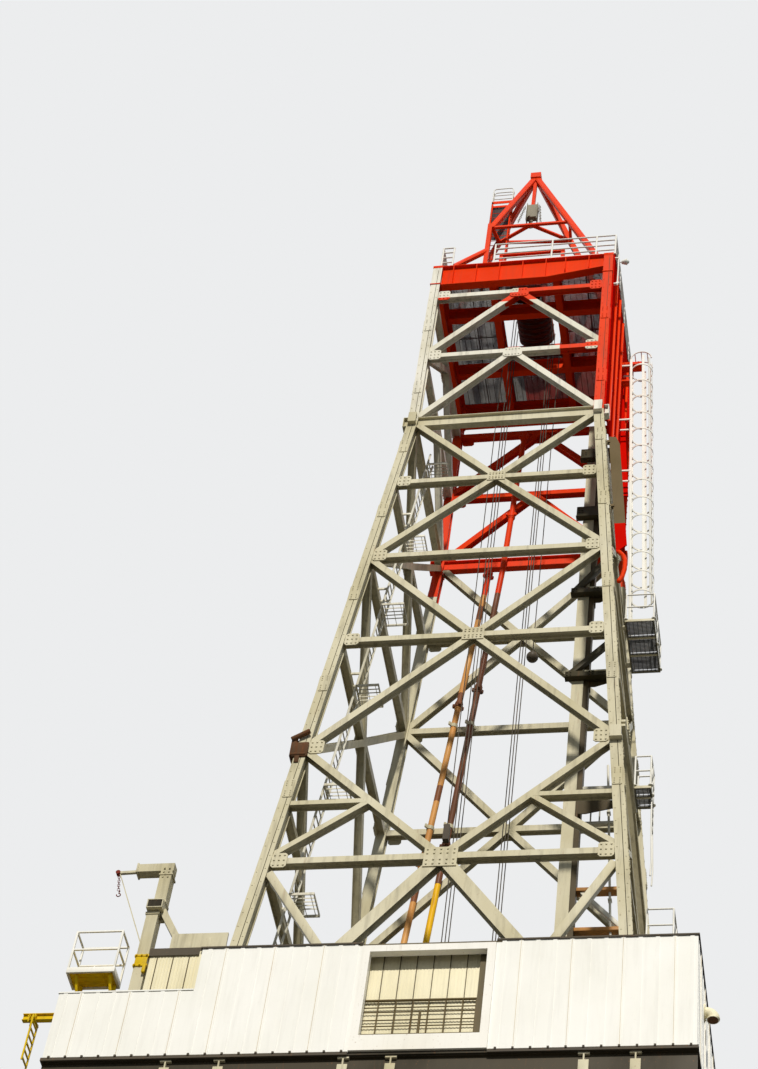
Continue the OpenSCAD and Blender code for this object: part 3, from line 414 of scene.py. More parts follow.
def cube_between(middle, size, lie, bevel):
    """A cube primitive of the given size and turn, with bevelled edges if a bevel is given, in millimetres."""
    start()
    bpy.ops.mesh.primitive_cube_add(size=1, location=middle, rotation=lie, scale=size)
    ob = bpy.context.object
    bpy.ops.object.transform_apply(location=False, rotation=False, scale=True)
    if bevel:
        edges = ob.modifiers.new("edges", "BEVEL")
        edges.width, edges.segments = bevel / 1000, 2
        bpy.ops.object.modifier_apply(modifier="edges")
    return ob


def block(low, high, bevel=0.0):
    return cube_between((low + high) / 2, high - low, (0, 0, 0), bevel)


def box(x0, y0, z0, x1, y1, z1, bevel=0.0):
    """A block between two corners in millimetres about the derrick's axis."""
    return block(mm(x0, y0, z0), mm(x1, y1, z1), bevel)


def boxes(*rows):
    return [box(*row) for row in rows]


def lie_along(a, b):
    return (b - a).to_track_quat("Z", "Y")


def square_tube(a, b, side=22):
    size = Vector((side / 1000, side / 1000, (b - a).length))
    return cube_between((a + b) / 2, size, lie_along(a, b).to_euler(), side * 0.14)


def round_bar(a, b, radius, sides=10):
    start()
    bpy.ops.mesh.primitive_cylinder_add(vertices=sides, radius=radius / 1000, depth=(b - a).length,
                                        location=(a + b) / 2, rotation=lie_along(a, b).to_euler())
    return bpy.context.object


def rim(x0, x1, y0, y1, wide, side=None):
    """The four strips of a flat frame, as (x0, y0, x1, y1)."""
    side = side or wide
    return ((x0, y0, x1, y0 + wide), (x0, y1 - wide, x1, y1),
            (x0, y0 + wide, x0 + side, y1 - wide), (x1 - side, y0 + wide, x1, y1 - wide))


print("blocks and bars ready")

# %% [markdown]
# In edit mode an operator acts on what is selected, and the tools here open the mesh, select, move and close it.
# A finished piece is one mesh at the origin that rides on the rig's body, and it hides the frame's part that it
# replaces.

# %% Editing, copying and joining
def pick(ob, test, kind="faces"):
    """Opens the mesh for editing and selects the faces, edges or verts that pass the test."""
    bpy.ops.object.mode_set(mode="EDIT")
    mesh = bmesh.from_edit_mesh(ob.data)
    for item in getattr(mesh, kind):
        item.select = test(item)
    if kind == "verts":
        mesh.select_flush_mode()
    bmesh.update_edit_mesh(ob.data)


def push(x, y, z):
    """Moves what is selected, in metres."""
    bpy.ops.transform.translate(value=(x, y, z))


def done(ob):
    bpy.ops.object.mode_set(mode="OBJECT")
    return ob


def repeat(model, places):
    """One copy of the model, with its own mesh, at each matrix. The model itself goes."""
    settle(model)
    copies = []
    for matrix in places:
        copy = bpy.data.objects.new(model.name, model.data.copy())
        bpy.context.scene.collection.objects.link(copy)
        copy.data.transform(matrix)
        copies.append(copy)
    bpy.data.objects.remove(model)
    return copies


def joined(parts):
    start()
    for part in parts:
        part.select_set(True)
    bpy.context.view_layer.objects.active = parts[0]
    if len(parts) > 1:
        bpy.ops.object.join()
    return parts[0]


def gather(name, parts, material, smooth=35, replaces=None):
    """Joins the parts into one piece at the origin, which rides on the rig."""
    piece = joined(parts)
    bpy.ops.object.transform_apply(location=True, rotation=True, scale=True)
    bpy.ops.object.shade_smooth_by_angle(angle=math.radians(smooth))
    piece.name = piece.data.name = name
    piece.data.materials.clear()
    piece.data.materials.append(material)
    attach(piece, "root")
    if replaces:
        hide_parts(replaces)
    print(name, len(piece.data.polygons), "faces")


print("editing tools ready")

# %% [markdown]
# ## Ribs of the wind walls
# The walls are trapezoidal steel sheet. The whole sheet could be drawn as one folded profile, but the frame's
# wall already stands there, so only the raised ribs are added: one rib is a block whose outer face is drawn in,
# then copied along the wall at the sheet's pitch.

# %% Wall ribs
RIB_PITCH, RIB_PROUD, RIB_FOOT, RIB_TOP, LOW_TOP = 185, 6, 4442, 5950, 5350
FRONT_FACE, LEFT_FACE, RIGHT_FACE, LOW_FACE = -2800, -3050, 3068, -3957     # where a wall's outer side stands
FRONT, LEFT, RIGHT, REAR = (0, -1, 0), (-1, 0, 0), (1, 0, 0), (0, 1, 0)
LEFT_RUN, RIGHT_RUN, SIDE_RUN = (range(a, b, RIB_PITCH) for a, b in ((-2330, -620), (970, 3060), (-2700, 2800)))


def rib(wide, z0, z1, outward):
    """A rib from z0 to z1 on the derrick's axis, with its narrow face towards outward."""
    across, deep = (2 * RIB_PROUD if outward[i] else wide for i in (X, Y))
    ob = box(-across / 2, -deep / 2, z0, across / 2, deep / 2, z1)
    pick(ob, lambda face: face.normal.dot(Vector(outward)) > 0.9)
    bpy.ops.transform.resize(value=(1 if outward[X] else 0.55, 1 if outward[Y] else 0.55, 1))
    return done(ob)


def wall_ribs(starts, fixed, z0, z1, outward, wide=46):
    """Ribs along a wall: starts are their places along it, fixed is where the wall stands on the other axis."""
    places = [shift(fixed, s, 0) if outward[X] else shift(s, fixed, 0) for s in starts]
    return repeat(rib(wide, z0, z1, outward), places)


gather("ribs_front_left", wall_ribs(LEFT_RUN, FRONT_FACE, RIB_FOOT, RIB_TOP, FRONT), white_sheet)
gather("ribs_front_right", wall_ribs(RIGHT_RUN, FRONT_FACE, RIB_FOOT, RIB_TOP, FRONT), white_sheet)
gather("ribs_right", wall_ribs(SIDE_RUN, RIGHT_FACE, RIB_FOOT, RIB_TOP, RIGHT), white_sheet)
gather("ribs_recess", wall_ribs(range(-2999, -2440, 37), -2700, 5300, 5930, FRONT, 14), cream_sheet)
gather("ribs_left", wall_ribs(range(-2560, 2790, RIB_PITCH), LEFT_FACE, 5370, 6030, LEFT), cream_sheet)

# %% [markdown]
# The rear wall and the low wall reach the end of the rig's box. Their sheets are drawn again a rib's height
# further in, so that the ribs end where the frame's plain walls did.

# %% Rear wall and low wall
REAR_FACE = 2850 - RIB_PROUD
LOW_RUN = range(-3880, -2440, RIB_PITCH)
rear_wall = boxes((LEFT_FACE, REAR_FACE - 27, DECK_Z, RIGHT_FACE, REAR_FACE, 5960))
rear_wall += wall_ribs(range(-2960, 3060, RIB_PITCH), REAR_FACE, RIB_FOOT, RIB_TOP, REAR)
gather("rear_wall", rear_wall, white_sheet, replaces="windwall_rear")
low_wall = boxes((LOW_FACE, FRONT_FACE, DECK_Z, -2422, -2760, 5360), (LOW_FACE, -2760, DECK_Z, -3917, 2810, 5360),
                 (LOW_FACE, 2810, DECK_Z, -3051, REAR_FACE, 5360))
low_wall += wall_ribs(LOW_RUN, FRONT_FACE, RIB_FOOT, LOW_TOP, FRONT)
low_wall += wall_ribs(SIDE_RUN, LOW_FACE, RIB_FOOT, LOW_TOP, LEFT)
low_wall += wall_ribs(range(-3880, -3060, RIB_PITCH), REAR_FACE, RIB_FOOT, LOW_TOP, REAR)
gather("low_wall", low_wall, white_sheet, replaces="windwall_low")

# %% [markdown]
# ## Cap flashing
# A folded dark strip closes the top of each wall, and a drip edge its foot. Folded sheet has thin lips, so each
# strip is a block with its lower face inset and pushed up, which leaves two lips over the ribs.

# %% Cap strips and drip edges
# Coated sheet that has gone dark and matt reads as a drawn line along the wall's top.
flashing = enamel("dark flashing enamel", ("#4A443C", "#5B5346"), rust=0.5, soot=0.4, gloss=(0.5, 0.7))


def cap(*corners):
    """A cap strip, hollow from below."""
    ob = box(*corners)
    pick(ob, lambda face: face.normal.z < -0.9)
    bpy.ops.mesh.inset(thickness=0.006)
    push(0, 0, 0.018)
    return done(ob)


caps = [cap(*row) for row in (
    (-2440, -2816, 5952, -598, -2742, 5974), (888, -2816, 5952, 3084, -2742, 5974),
    (3010, -2742, 5952, 3084, 2850, 5974), (-3050, 2790, 5952, 3010, 2850, 5974),
    (-3060, -2722, 5944, -2425, -2640, 6052), (-3066, -2640, 6026, -2992, 2800, 6052))]
gather("wall_caps", caps, flashing)
low_caps = [cap(*row) for row in (
    (-3966, -2810, LOW_TOP, -2424, -2742, 5368), (-3966, -2742, LOW_TOP, -3900, 2850, 5368),
    (-3900, 2790, LOW_TOP, -3052, 2850, 5368))]
gather("low_wall_caps", low_caps, white_sheet)
drips = boxes((-3970, -2816, 4396, -2440, -2790, 4436), (-2440, -2816, 4396, -600, -2790, 4436),
              (890, -2816, 4396, 3082, -2790, 4436), (3056, -2790, 4396, 3082, 2849, 4436),
              (-3970, -2790, 4396, -3946, 2849, 4436), (-3946, 2832, 4350, 3056, 2849, 4399))
studs = repeat(box(-12, -10, 4428, 12, 10, 4452), [shift(x, -2816, 0) for x in (*LOW_RUN, *LEFT_RUN, *RIGHT_RUN)])
gather("wall_drips", drips + studs, flashing)

# %% [markdown]
# ## Gusset plates and bolts
# Every joint of the lattice is bolted through a plate. A plate is a block with bevelled edges, and a bolt head is a
# six-sided primitive whose top face is inset and pushed in a little, as a forged head looks.

# %% Plates and bolt heads
def bolt(radius=13, high=11):
    """A hexagonal head at the origin that stands towards -Y."""
    start()
    bpy.ops.mesh.primitive_cylinder_add(vertices=6, radius=radius / 1000, depth=high / 1000,
                                        location=(0, -high / 2000, 0), rotation=(math.pi / 2, 0, 0))
    ob = settle(bpy.context.object)
    pick(ob, lambda face: face.normal.y < -0.9)
    bpy.ops.mesh.inset(thickness=radius * 0.22 / 1000)
    push(0, -0.002, 0)
    return done(ob)


def bolts(xs, y, zs, radius=12, high=10):
    """Bolt heads on a face that looks towards -Y, at each x and each z."""
    return repeat(bolt(radius, high), [at(x, y, z) for x in xs for z in zs])


def plate(wide, high, thick, cut):
    """A plate at the origin that stands out towards -Y, with its corners cut off."""
    ob = settle(block(Vector((-wide, -2 * thick, -high)) / 2000, Vector((wide, 0, high)) / 2000))
    pick(ob, lambda edge: abs(edge.verts[0].co.y - edge.verts[1].co.y) > thick / 1500, "edges")
    bpy.ops.mesh.bevel(offset=cut / 1000, segments=1)
    return done(ob)


def bolted_plate(base, size, columns, rows):
    """A plate at the place, and the places of its bolt heads."""
    ob = plate(*size)
    ob.data.transform(base)
    return ob, [base @ shift(x, -size[2], z) for x in columns for z in rows]


def face_frame(side, z, lift=0.0):
    """The place on a leaning face: origin on the face's middle at height z, -Y outwards, Z up the slope."""
    lean = math.atan(TAPER) if z < NECK_Z else 0.0
    return (at(0, 0, 0, side * 90) @ shift(0, -half_width(z), z) @ Matrix.Rotation(-lean, 4, "X")
            @ shift(0, -lift, 0))


print("one bolt head has", len(bolt().data.polygons), "faces")
bpy.data.objects.remove(bpy.context.object)

# %% [markdown]
# Each face of the derrick has plates where its bars meet the legs, and in the middle of a bay where they cross. The
# frame has the crossing plates already, so only their bolts are added.

# %% Gussets of the four faces
LOW_NODES, NECK_NODES = (7893, 10003, 12245, 14186, 16056), (19459, 21150)
CROSSINGS = ((7893, -30, 330, 400), (12245, 0, 250, 290), (16056, 0, 220, 260))
FACE_LIFT = 55.6


def leg_plates(side, levels):
    """Plates with the places of their bolts, beside both legs of a face at each level."""
    return [bolted_plate(face_frame(side, z, FACE_LIFT) @ shift(k * (half_width(z) - 175), 0, 0), (190, 250, 12, 30),
                         (-60, 0, 60), (-85, 0, 85)) for z in levels for k in (-1, 1)]


def with_bolts(made, more=()):
    """The plates, and a bolt head at each of their places and at any more places."""
    places = [m for _, spots in made for m in spots] + list(more)
    return [ob for ob, _ in made] + repeat(bolt(), places)


def crossing_bolts(side):
    """Places of bolts in five columns and four rows on each crossing plate of a face."""
    places = []
    for level, up, high, wide in CROSSINGS:
        base = face_frame(side, level) @ shift(0, -FACE_LIFT - 14.2, up)
        places += [base @ shift(-wide / 2 + 40 + i * (wide - 80) / 4, 0, z) for i in range(5)
                   for z in (-high / 2 + 40, -high / 6, high / 6, high / 2 - 40)]
    return places


for side, (face_name, neck_paint) in enumerate((("front", front_neck_paint), ("right", red), ("rear", red),
                                                ("left", white))):
    low_plates = with_bolts(leg_plates(side, LOW_NODES), crossing_bolts(side))
    gather("gussets_" + face_name, low_plates, cream)
    neck_middle = [bolted_plate(face_frame(side, z - 60, FACE_LIFT), (300, 230, 12, 40), (-100, -50, 0, 50, 100),
                                (-70, 70)) for z in NECK_NODES]
    gather("neck_gussets_" + face_name, with_bolts(leg_plates(side, NECK_NODES) + neck_middle),
           neck_paint)

# %% [markdown]
# ## Splices on the legs
# A leg is made of lengths that are bolted end to end. Each splice has a plate on the outer faces of the leg, over
# the joint, with two rows of bolts.

# %% Leg splices
SPLICES = (6250, 9200, 11300, 13300, 15300, 17000, 18600, 20300)
LEGS = {"front_left": (-1, -1), "front_right": (1, -1), "rear_left": (-1, 1), "rear_right": (1, 1)}


def outer_faces(sx, sy):
    """The two faces of the derrick that a leg stands in, and its side of each."""
    return (0, sx) if sy < 0 else (2, -sx), (1, sy) if sx > 0 else (3, -sy)


def leg_splices(leg):
    parts, heads = [], []
    for z in SPLICES:
        for side, k in outer_faces(*LEGS[leg]):
            ob, places = bolted_plate(face_frame(side, z) @ shift(k * half_width(z), -75.2, 0), (122, 330, 10, 12),
                                      (-34, 34), (-135, -95, -55, 55, 95, 135))
            parts.append(ob)
            heads += places
    return parts + repeat(bolt(9, 7), heads)


for leg, paint in zip(LEGS, (left_leg_paint, cream_then_red, rear_leg_paint, rear_leg_paint)):
    gather("splices_" + leg, leg_splices(leg), paint)

# %% [markdown]
# ## Round handrails
# The frame's rails are square bars, which is enough to stand against. The real ones are round tube with bent
# corners. A curve with a round bevel would bend well, but short cylinders with a ball at each corner join into one
# mesh and stay easy to read.

# %% Round tube rails
RAIL_Y, RAIL_X0, RAIL_X1, CROWN_FLOOR = 1406, -1371, 1491, 22081


def ball(centre, radius, rings=6):
    start()
    bpy.ops.mesh.primitive_uv_sphere_add(segments=10, ring_count=rings, radius=radius / 1000, location=centre)
    return bpy.context.object


def rail_line(points, radius):
    """Tube through the points, with a ball at each bend."""
    return ([round_bar(a, b, radius) for a, b in zip(points, points[1:])]
            + [ball(p, radius) for p in points[1:-1]])


def guard(corners, heights, floor_z, posts, radius=13, post_radius=15):
    """Handrail over the corners: one tube at each height, and posts with round feet at the given points."""
    parts = []
    for h in heights:
        parts += rail_line([mm(x, y, floor_z + h) for x, y in corners], radius)
    for top, r, sides in ((max(heights), post_radius, 10), (10, 34, 12)):
        parts += [round_bar(mm(x, y, floor_z), mm(x, y, floor_z + top), r, sides) for x, y in posts]
    return parts


def crown_rails():
    x0, x1, y, base, heights = RAIL_X0, RAIL_X1, RAIL_Y, CROWN_FLOOR, (160, 310, 460, 600)
    parts = guard([(x0, -y), (-1189, -y)], heights, base, [(x0, -y), (-1189, -y)])
    parts += guard([(-500, -y), (x1, -y), (x1, y), (x0, y), (x0, -y)], heights, base,
                   [(-500, -y), (446, -y), (1177, -y), (x1, -y), (x1, -700), (x1, 0), (x1, 700), (x1, y), (700, y),
                    (0, y), (-700, y), (x0, y), (x0, 700), (x0, 0), (x0, -700)])
    toe_boards = ((x0, -y, x0, y), (x1, -y, x1, y), (-500, -y, x1, -y), (x0, y, x1, y))
    return parts + [box(a - 3, b - 3, base, c + 3, d + 3, base + 70) for a, b, c, d in toe_boards]


gather("crown_rails", crown_rails(), rail_white, 50, "crown_handrail")

# %% [markdown]
# ## Crown grating
# People walk on open bar grating, and from the ground the sky shows through it. A plate with a grid picture on it
# would not let the light fall through, so the bearing bars and the cross rods are laid bar by bar. One bar and
# one rod are modelled for each field and copied at the grating's pitch.

# %% Grating fields
# Zinc dulls outdoors to a patchy mid grey. Where the crown's painter went over it, it is red, painted dark as painted
# shade for the crown's underside.
galvanised = enamel("galvanised grating", ("#6F7070", "#54555A"), rust=0.4, soot=0.5, gloss=(0.4, 0.6))
grating_paint = enamel("galvanised grating, over-painted red in painted shade", ("#7A7A78", "#5C5C5E"), rust=0.4, soot=0.5,
                       zones=((within((X, AXIS - 0.28)), ("#7A1A10", "#58120A")),))


def grating(x0, x1, y0, y1, top, pitch=22, deep=26, rod_pitch=95):
    """One field of bar grating: bars along X, rods along Y just under the top, and a flat edge bar all round."""
    bars, rods = int((y1 - y0 - 16) / pitch), int((x1 - x0 - 40) / rod_pitch) + 1
    parts = repeat(box(x0 + 5, y0 + 12, top - deep, x1 - 5, y0 + 16, top),
                   [shift(0, i * pitch, 0) for i in range(bars)])
    parts += repeat(box(x0 + 30, y0 + 5, top - deep + 2, x0 + 36, y1 - 5, top - 3),
                    [shift(i * rod_pitch, 0, 0) for i in range(rods)])
    return parts + [box(a, b, top - deep - 4, c, d, top) for a, b, c, d in rim(x0, x1, y0, y1, 6)]


fields = []
for y0, y1 in ((-1425, -1), (1, 1425)):
    for x0, x1 in ((-1390, -928), (-926, -465), (465, 986), (988, 1510)):
        fields += grating(x0, x1, y0, y1, CROWN_FLOOR - 0.5)
for y0, y1 in ((-1425, -400), (400, 1425)):
    fields += grating(-463, 463, y0, y1, CROWN_FLOOR - 0.5)
gather("crown_grating", fields, grating_paint, replaces="crown_floor")

# %% [markdown]
# ## Sheaves of the crown block
# A sheave is a grooved wheel. It could be turned from a profile, but two cone primitives back to back leave the
# same V groove, and an inset of the outer faces, pushed in, leaves the rim and the web.

# %% Grooved sheaves
SHAFT_Z = 22411


def sheave(radius, wide, x, y, z, groove=34):
    """The two halves of a grooved wheel that turns about Y."""
    halves = []
    for sign in (-1, 1):
        start()
        bpy.ops.mesh.primitive_cone_add(vertices=40, radius1=radius / 1000, radius2=(radius - groove) / 1000,
                                        depth=wide / 2000, location=mm(x, y + sign * wide / 4, z),
                                        rotation=(sign * math.pi / 2, 0, 0))
        ob = settle(bpy.context.object)
        pick(ob, lambda face: face.normal.y * sign > 0.9)
        bpy.ops.mesh.inset(thickness=0.05)
        push(0, -sign * wide / 5000, 0)
        bpy.ops.mesh.inset(thickness=(radius - 130) / 1000)
        push(0, sign * wide / 6000, 0)
        halves.append(done(ob))
    return halves


wheels = []
for i in range(6):
    wheels += sheave(300, 58, 0, -210 + i * 100, SHAFT_Z)
wheels += [round_bar(mm(0, -430, SHAFT_Z), mm(0, 490, SHAFT_Z), 60, 24)] + sheave(270, 52, -70, -640, 22330)
gather("sheaves", wheels, sheave_paint, 30, "crown_block")

# %% [markdown]
# The sheaves' shaft lies on two channel beams, in bearings that are held by bolts. A small housing of plate stands
# in front of them for the single sheave. A beam's web is its long face, inset and drawn in.

# %% Beams and bearings of the crown block
def channel(low, high, lip):
    """A beam with a web set back on both long sides, along X."""
    ob = block(low, high)
    pick(ob, lambda face: abs(face.normal.y) > 0.9)
    bpy.ops.mesh.inset(thickness=lip / 1000, use_individual=True)
    bpy.ops.transform.resize(value=(1, 0.35, 1), center_override=(low + high) / 2)
    return done(ob)


carrier = [channel(mm(-620, y, 22082), mm(620, y + 80, 22342), 16) for y in (-430, 410)]
for y in (-430, 410):
    carrier += boxes((-90, y, 22282, 90, y + 80, 22440, 6), (-70, y, 22440, 70, y + 80, 22501, 14))
    carrier += bolts((-74, 74), y, (22310, 22350), 16, 14)
    carrier += bolts(range(-560, 600, 140), y, (22120, 22300), 13, 11)
carrier += [box(x, -940, 22082, x + 12, -429, 22901) for x in (-365, 211)]
carrier += boxes((-353, -940, 22082, 211, -928, 22600), (-365, -940, 22889, 223, -429, 22901),
                 (-353, -940, 22590, 211, -928, 22890, 3))
carrier.append(round_bar(mm(-70, -760, 22330), mm(-70, -520, 22330), 45, 20))
carrier += [box(x, -946, 22082, x + 10, -940, 22890) for x in (-220, -75, 70)]
gather("crown_block_frame", carrier, red)

# %% [markdown]
# ## Ladder tower and its small rails
# The tower at the crown's left is red angle with a dark back panel, and a white tube rail with round corners on
# top. The frame has the tower as plain posts, so the whole of it is drawn again with thinner members.

# %% Ladder tower
TOWER_FOOT, TOWER_TOP, RUNG_PITCH = 22082, 25040, 150
ANGLE_LEG, ANGLE_THICK = 30, 5


def angle_bar(x, y, dx, dy):
    """An upright angle of the tower whose heel is at (x, y) and whose legs run towards dx and dy."""
    return [box(min(x, x + dx * a), min(y, y + dy * b), TOWER_FOOT, max(x, x + dx * a), max(y, y + dy * b), TOWER_TOP)
            for a, b in ((ANGLE_LEG, ANGLE_THICK), (ANGLE_THICK, ANGLE_LEG))]


x0, x1, y0, y1, low, high = -815, -450, -826, -730, TOWER_TOP - 50, TOWER_TOP + 30
tower = []
for x, dx in ((x0, 1), (x1, -1)):
    for y, dy in ((y0, 1), (y1, -1)):
        tower += angle_bar(x, y, dx, dy)
tower += boxes((x0, y0, low, x1, y0 + 8, high), (x0, y1 - 8, low, x1, y1, high),
               (x0, y0, low, x0 + 8, y1, high), (x1 - 8, y0, low, x1, y1, high))
for z in (22700, 23300, 24500):
    tower += boxes((x0, y1 - 6, z, x1, y1, z + 40), (x0, y0, z, x0 + 6, y1, z + 40), (x1 - 6, y0, z, x1, y1, z + 40))
tower += repeat(round_bar(mm(-790, -742, 22250), mm(-475, -742, 22250), 7, 8),
                [shift(0, 0, RUNG_PITCH * i) for i in range(18)])
gather("ladder_tower", tower, red, replaces="crown_tower")
# This sheet never sees the sun, and it is painted dark as painted shade, so it reads as a dark field behind the bars.
painted_shade_panel = enamel("dark sheet in the shade", ("#4B4244", "#3A3335"), rust=0.3, soot=0.5)
back = boxes((-800, -742, 23930, -465, -738, 24990, 1))
back += repeat(box(-790, -746, 23930, -776, -742, 24990), [shift(56 * i, 0, 0) for i in range(6)])
gather("tower_panel", back, painted_shade_panel)

# %% [markdown]
# A bent tube is a chain of short straight ones. The points of the bend follow a curve that leaves each straight
# part in its own direction.

# %% Hoops on the tower
BEND_REACH, HOOP_RADIUS = 70, 9


def bent(a, corner, b):
    """Points of a bend at the corner, between a and b."""
    p, q = (corner + (end - corner).normalized() * BEND_REACH / 1000 for end in (a, b))
    return [p * (1 - t) ** 2 + corner * 2 * t * (1 - t) + q * t ** 2 for t in (0, 0.25, 0.5, 0.75, 1)]


def hoop(x0, x1, y, z0, z1):
    """An upright hoop of tube: two posts and a top bar with round corners."""
    a, b, c, d = mm(x0, y, z0), mm(x0, y, z1), mm(x1, y, z1), mm(x1, y, z0)
    return rail_line([a] + bent(a, b, c) + bent(b, c, d) + [d], HOOP_RADIUS)


rails = []
for y in (-815, -741):
    rails += hoop(-806, -459, y, TOWER_TOP + 20, TOWER_TOP + 460)
    rails.append(round_bar(mm(-806, y, TOWER_TOP + 240), mm(-459, y, TOWER_TOP + 240), 8))
for x in (-806, -459):
    rails += [round_bar(mm(x, -815, TOWER_TOP + h), mm(x, -741, TOWER_TOP + h), 8) for h in (240, 380)]
gather("tower_rails", rails, rail_white, 50)

# %% [markdown]
# ## Tackle under the gin pole
# A block with a small sheave, a hook and a loop of chain hangs from the gin pole's tip. A chain link is a torus
# drawn out along one axis, and every second link is turned by a quarter.

# %% Chain and hook
def torus(across, wire, middle, around, tube):
    """A ring of wire that stands upright along X. wire is half its thickness."""
    start()
    bpy.ops.mesh.primitive_torus_add(major_radius=across / 2000, minor_radius=wire / 1000, major_segments=around,
                                     minor_segments=tube, location=middle, rotation=(math.pi / 2, 0, 0))
    return settle(bpy.context.object)


def link(tall, wide, wire):
    """A chain link at the origin: a torus with its two halves moved apart."""
    ob = torus(wide, wire / 2, (0, 0, 0), 16, 6)
    for sign in (1, -1):
        pick(ob, lambda vert: vert.co.z * sign > 0, "verts")
        push(0, 0, sign * (tall - wide) / 2000)
    return done(ob)


def chain(a, b, tall=64, wide=40, wire=7):
    """As many links as fit between two points."""
    step, lie = (tall - 2 * wire) / 1000, lie_along(a, b).to_matrix().to_4x4()
    places = [Matrix.Translation(a) @ lie @ Matrix.Translation((0, 0, step * (i + 0.5)))
              @ Matrix.Rotation(i % 2 * math.pi / 2, 4, "Z") for i in range(int((b - a).length / step))]
    return repeat(link(tall, wide, wire), places)


def hook(x, y, z, size=60, wire=14):
    """A hook at the point: most of a torus, with an eye above it."""
    middle = mm(x, y, z)
    ring = torus(2 * size, wire, middle, 20, 8)

    def mouth(face):
        out = face.calc_center_median() - middle
        return out.x < 0 and out.z > 0.2 * size / 1000
    pick(ring, mouth)
    bpy.ops.mesh.delete(type="FACE")
    return [done(ring), round_bar(mm(x, y, z + size - wire), mm(x, y, z + size * 2.4), wire, 12),
            ball(mm(x, y, z + size * 2.5), wire * 2)]


# Grease holds soot and rust on the block's grey enamel, which looks blotchy and dull.
tackle_paint = enamel("greasy grey block enamel", BLOCK_GREY, rust=0.7, soot=0.6)
tackle = boxes((-196, -790, 24470, -184, -650, 24990, 3), (-16, -790, 24470, -4, -650, 24990, 3))
tackle += sheave(88, 60, -100, -720, 24800, 14) + hook(-100, -720, 24330)
tackle.append(round_bar(mm(-210, -720, 24800), mm(10, -720, 24800), 24, 16))
tackle.append(round_bar(mm(-140, -800, 24560), mm(-140, -640, 24560), 20, 12))
tackle += chain(mm(-230, -740, 24960), mm(-330, -760, 24380)) + chain(mm(20, -740, 24960), mm(70, -760, 24320))
gather("gin_pole_tackle", tackle, tackle_paint, 40)

# %% [markdown]
# ## Basket on the low wall
# A small railed basket of square tube stands over the low wall. Its frame and rails are white and its floor is
# yellow sheet with stiffening seams, which show from below.

# %% Railed basket
x0, x1, y0, y1, z = -3977, -3417, -2740, -2440, 5785
basket = [box(a, b, z - 70, c, d, z + 6, 3) for a, b, c, d in rim(x0, x1, y0, y1, 26)]
corners = [(x0 + 12, y0 + 12), (x1 - 12, y0 + 12), (x1 - 12, y1 - 12), (x0 + 12, y1 - 12)]
basket += [square_tube(mm(x, y, z - 10), mm(x, y, z + 552)) for x, y in corners]
for h in (275, 541):
    basket += [square_tube(mm(*p, z + h), mm(*q, z + h), 20) for p, q in zip(corners, corners[1:] + corners[:1])]
basket.append(square_tube(mm(x0 + 200, y1 - 12, z), mm(x0 + 200, y1 - 12, z + 275), 18))
gather("basket_rails", basket, rail_white, replaces="side_basket")
# The floor's yellow is painted brighter than the clamp's, as painted light on an underside that sits in shade.
brightened_floor_yellow = enamel("yellow enamel brightened as painted light", ("#FFDC1E", "#F6CC1A"), rust=0.15, soot=0.15)
a, b, c, d = x0 + 26, y0 + 26, x1 - 26, y1 - 26
floor_sheet = boxes((a, b, z - 50, c, d, z - 44, 1), (a, b, z - 4, c, d, z + 3, 1),
                    (x1 - 150, b, z - 58, x1 - 142, d, z - 50, 1))
floor_sheet += [box(a, y, z - 58, c, y + 8, z - 50, 1) for y in (y0 + 110, y0 + 190)]
gather("basket_floor", floor_sheet, brightened_floor_yellow)
legs = []
for ya, za, yb, zb, side in ((y1 - 40, DECK_Z, y1 - 40, z - 60, 50), (y0 + 40, DECK_Z, y0 + 40, 5330, 50),
                             (y0 + 40, 5310, y1 - 40, 5310, 30), (y1 - 40, 5480, y0 + 60, z - 60, 30)):
    legs += [square_tube(mm(x, ya, za), mm(x, yb, zb), side) for x in (x0 + 110, x1 - 60)]
# The legs take the floor's yellow, painted brighter as painted light.
gather("basket_legs", legs, brightened_floor_yellow)

# %% [markdown]
# ## Davit fittings
# The davit's post stands in a square socket, with collars, a clamp and an open cross tube. A plate painted near black
# as painted shade, set into a raised rim, reads as the hollow end of the tube. A short chain hangs from the arm's
# tip.

# %% Davit fittings
fittings = boxes((-3281, -2556, 5300, -3129, -2404, 5330, 3), (-3288, -2563, 6740, -3122, -2397, 6776, 4),
                 (-3232, -2557, 6925, -3078, -2403, 6962, 4), (-3240, -2560, 7360, -3070, -2400, 7384, 4),
                 (-3535, -2552, 7428, -3513, -2408, 7572, 4), (-3300, -2612, 4442, -3110, -2348, 4470, 4))
for y in (-2614, -2346):
    fittings += [box(a, y - 6, b, c, y + 6, d, 1) for a, b, c, d in rim(-3275, -3085, 6790, 6920, 12)]
fittings.append(square_tube(mm(-3092, -2480, 4460), mm(-3092, -2480, 5200), 30))
fittings += bolts((-3185, -3125), -2550, (7330, 7410, 7470))
fittings += repeat(bolt(12, 10), [at(x, -2600, 4470, -90, "X") for x in (-3300, -3110)])
gather("davit_collars", fittings, cream)
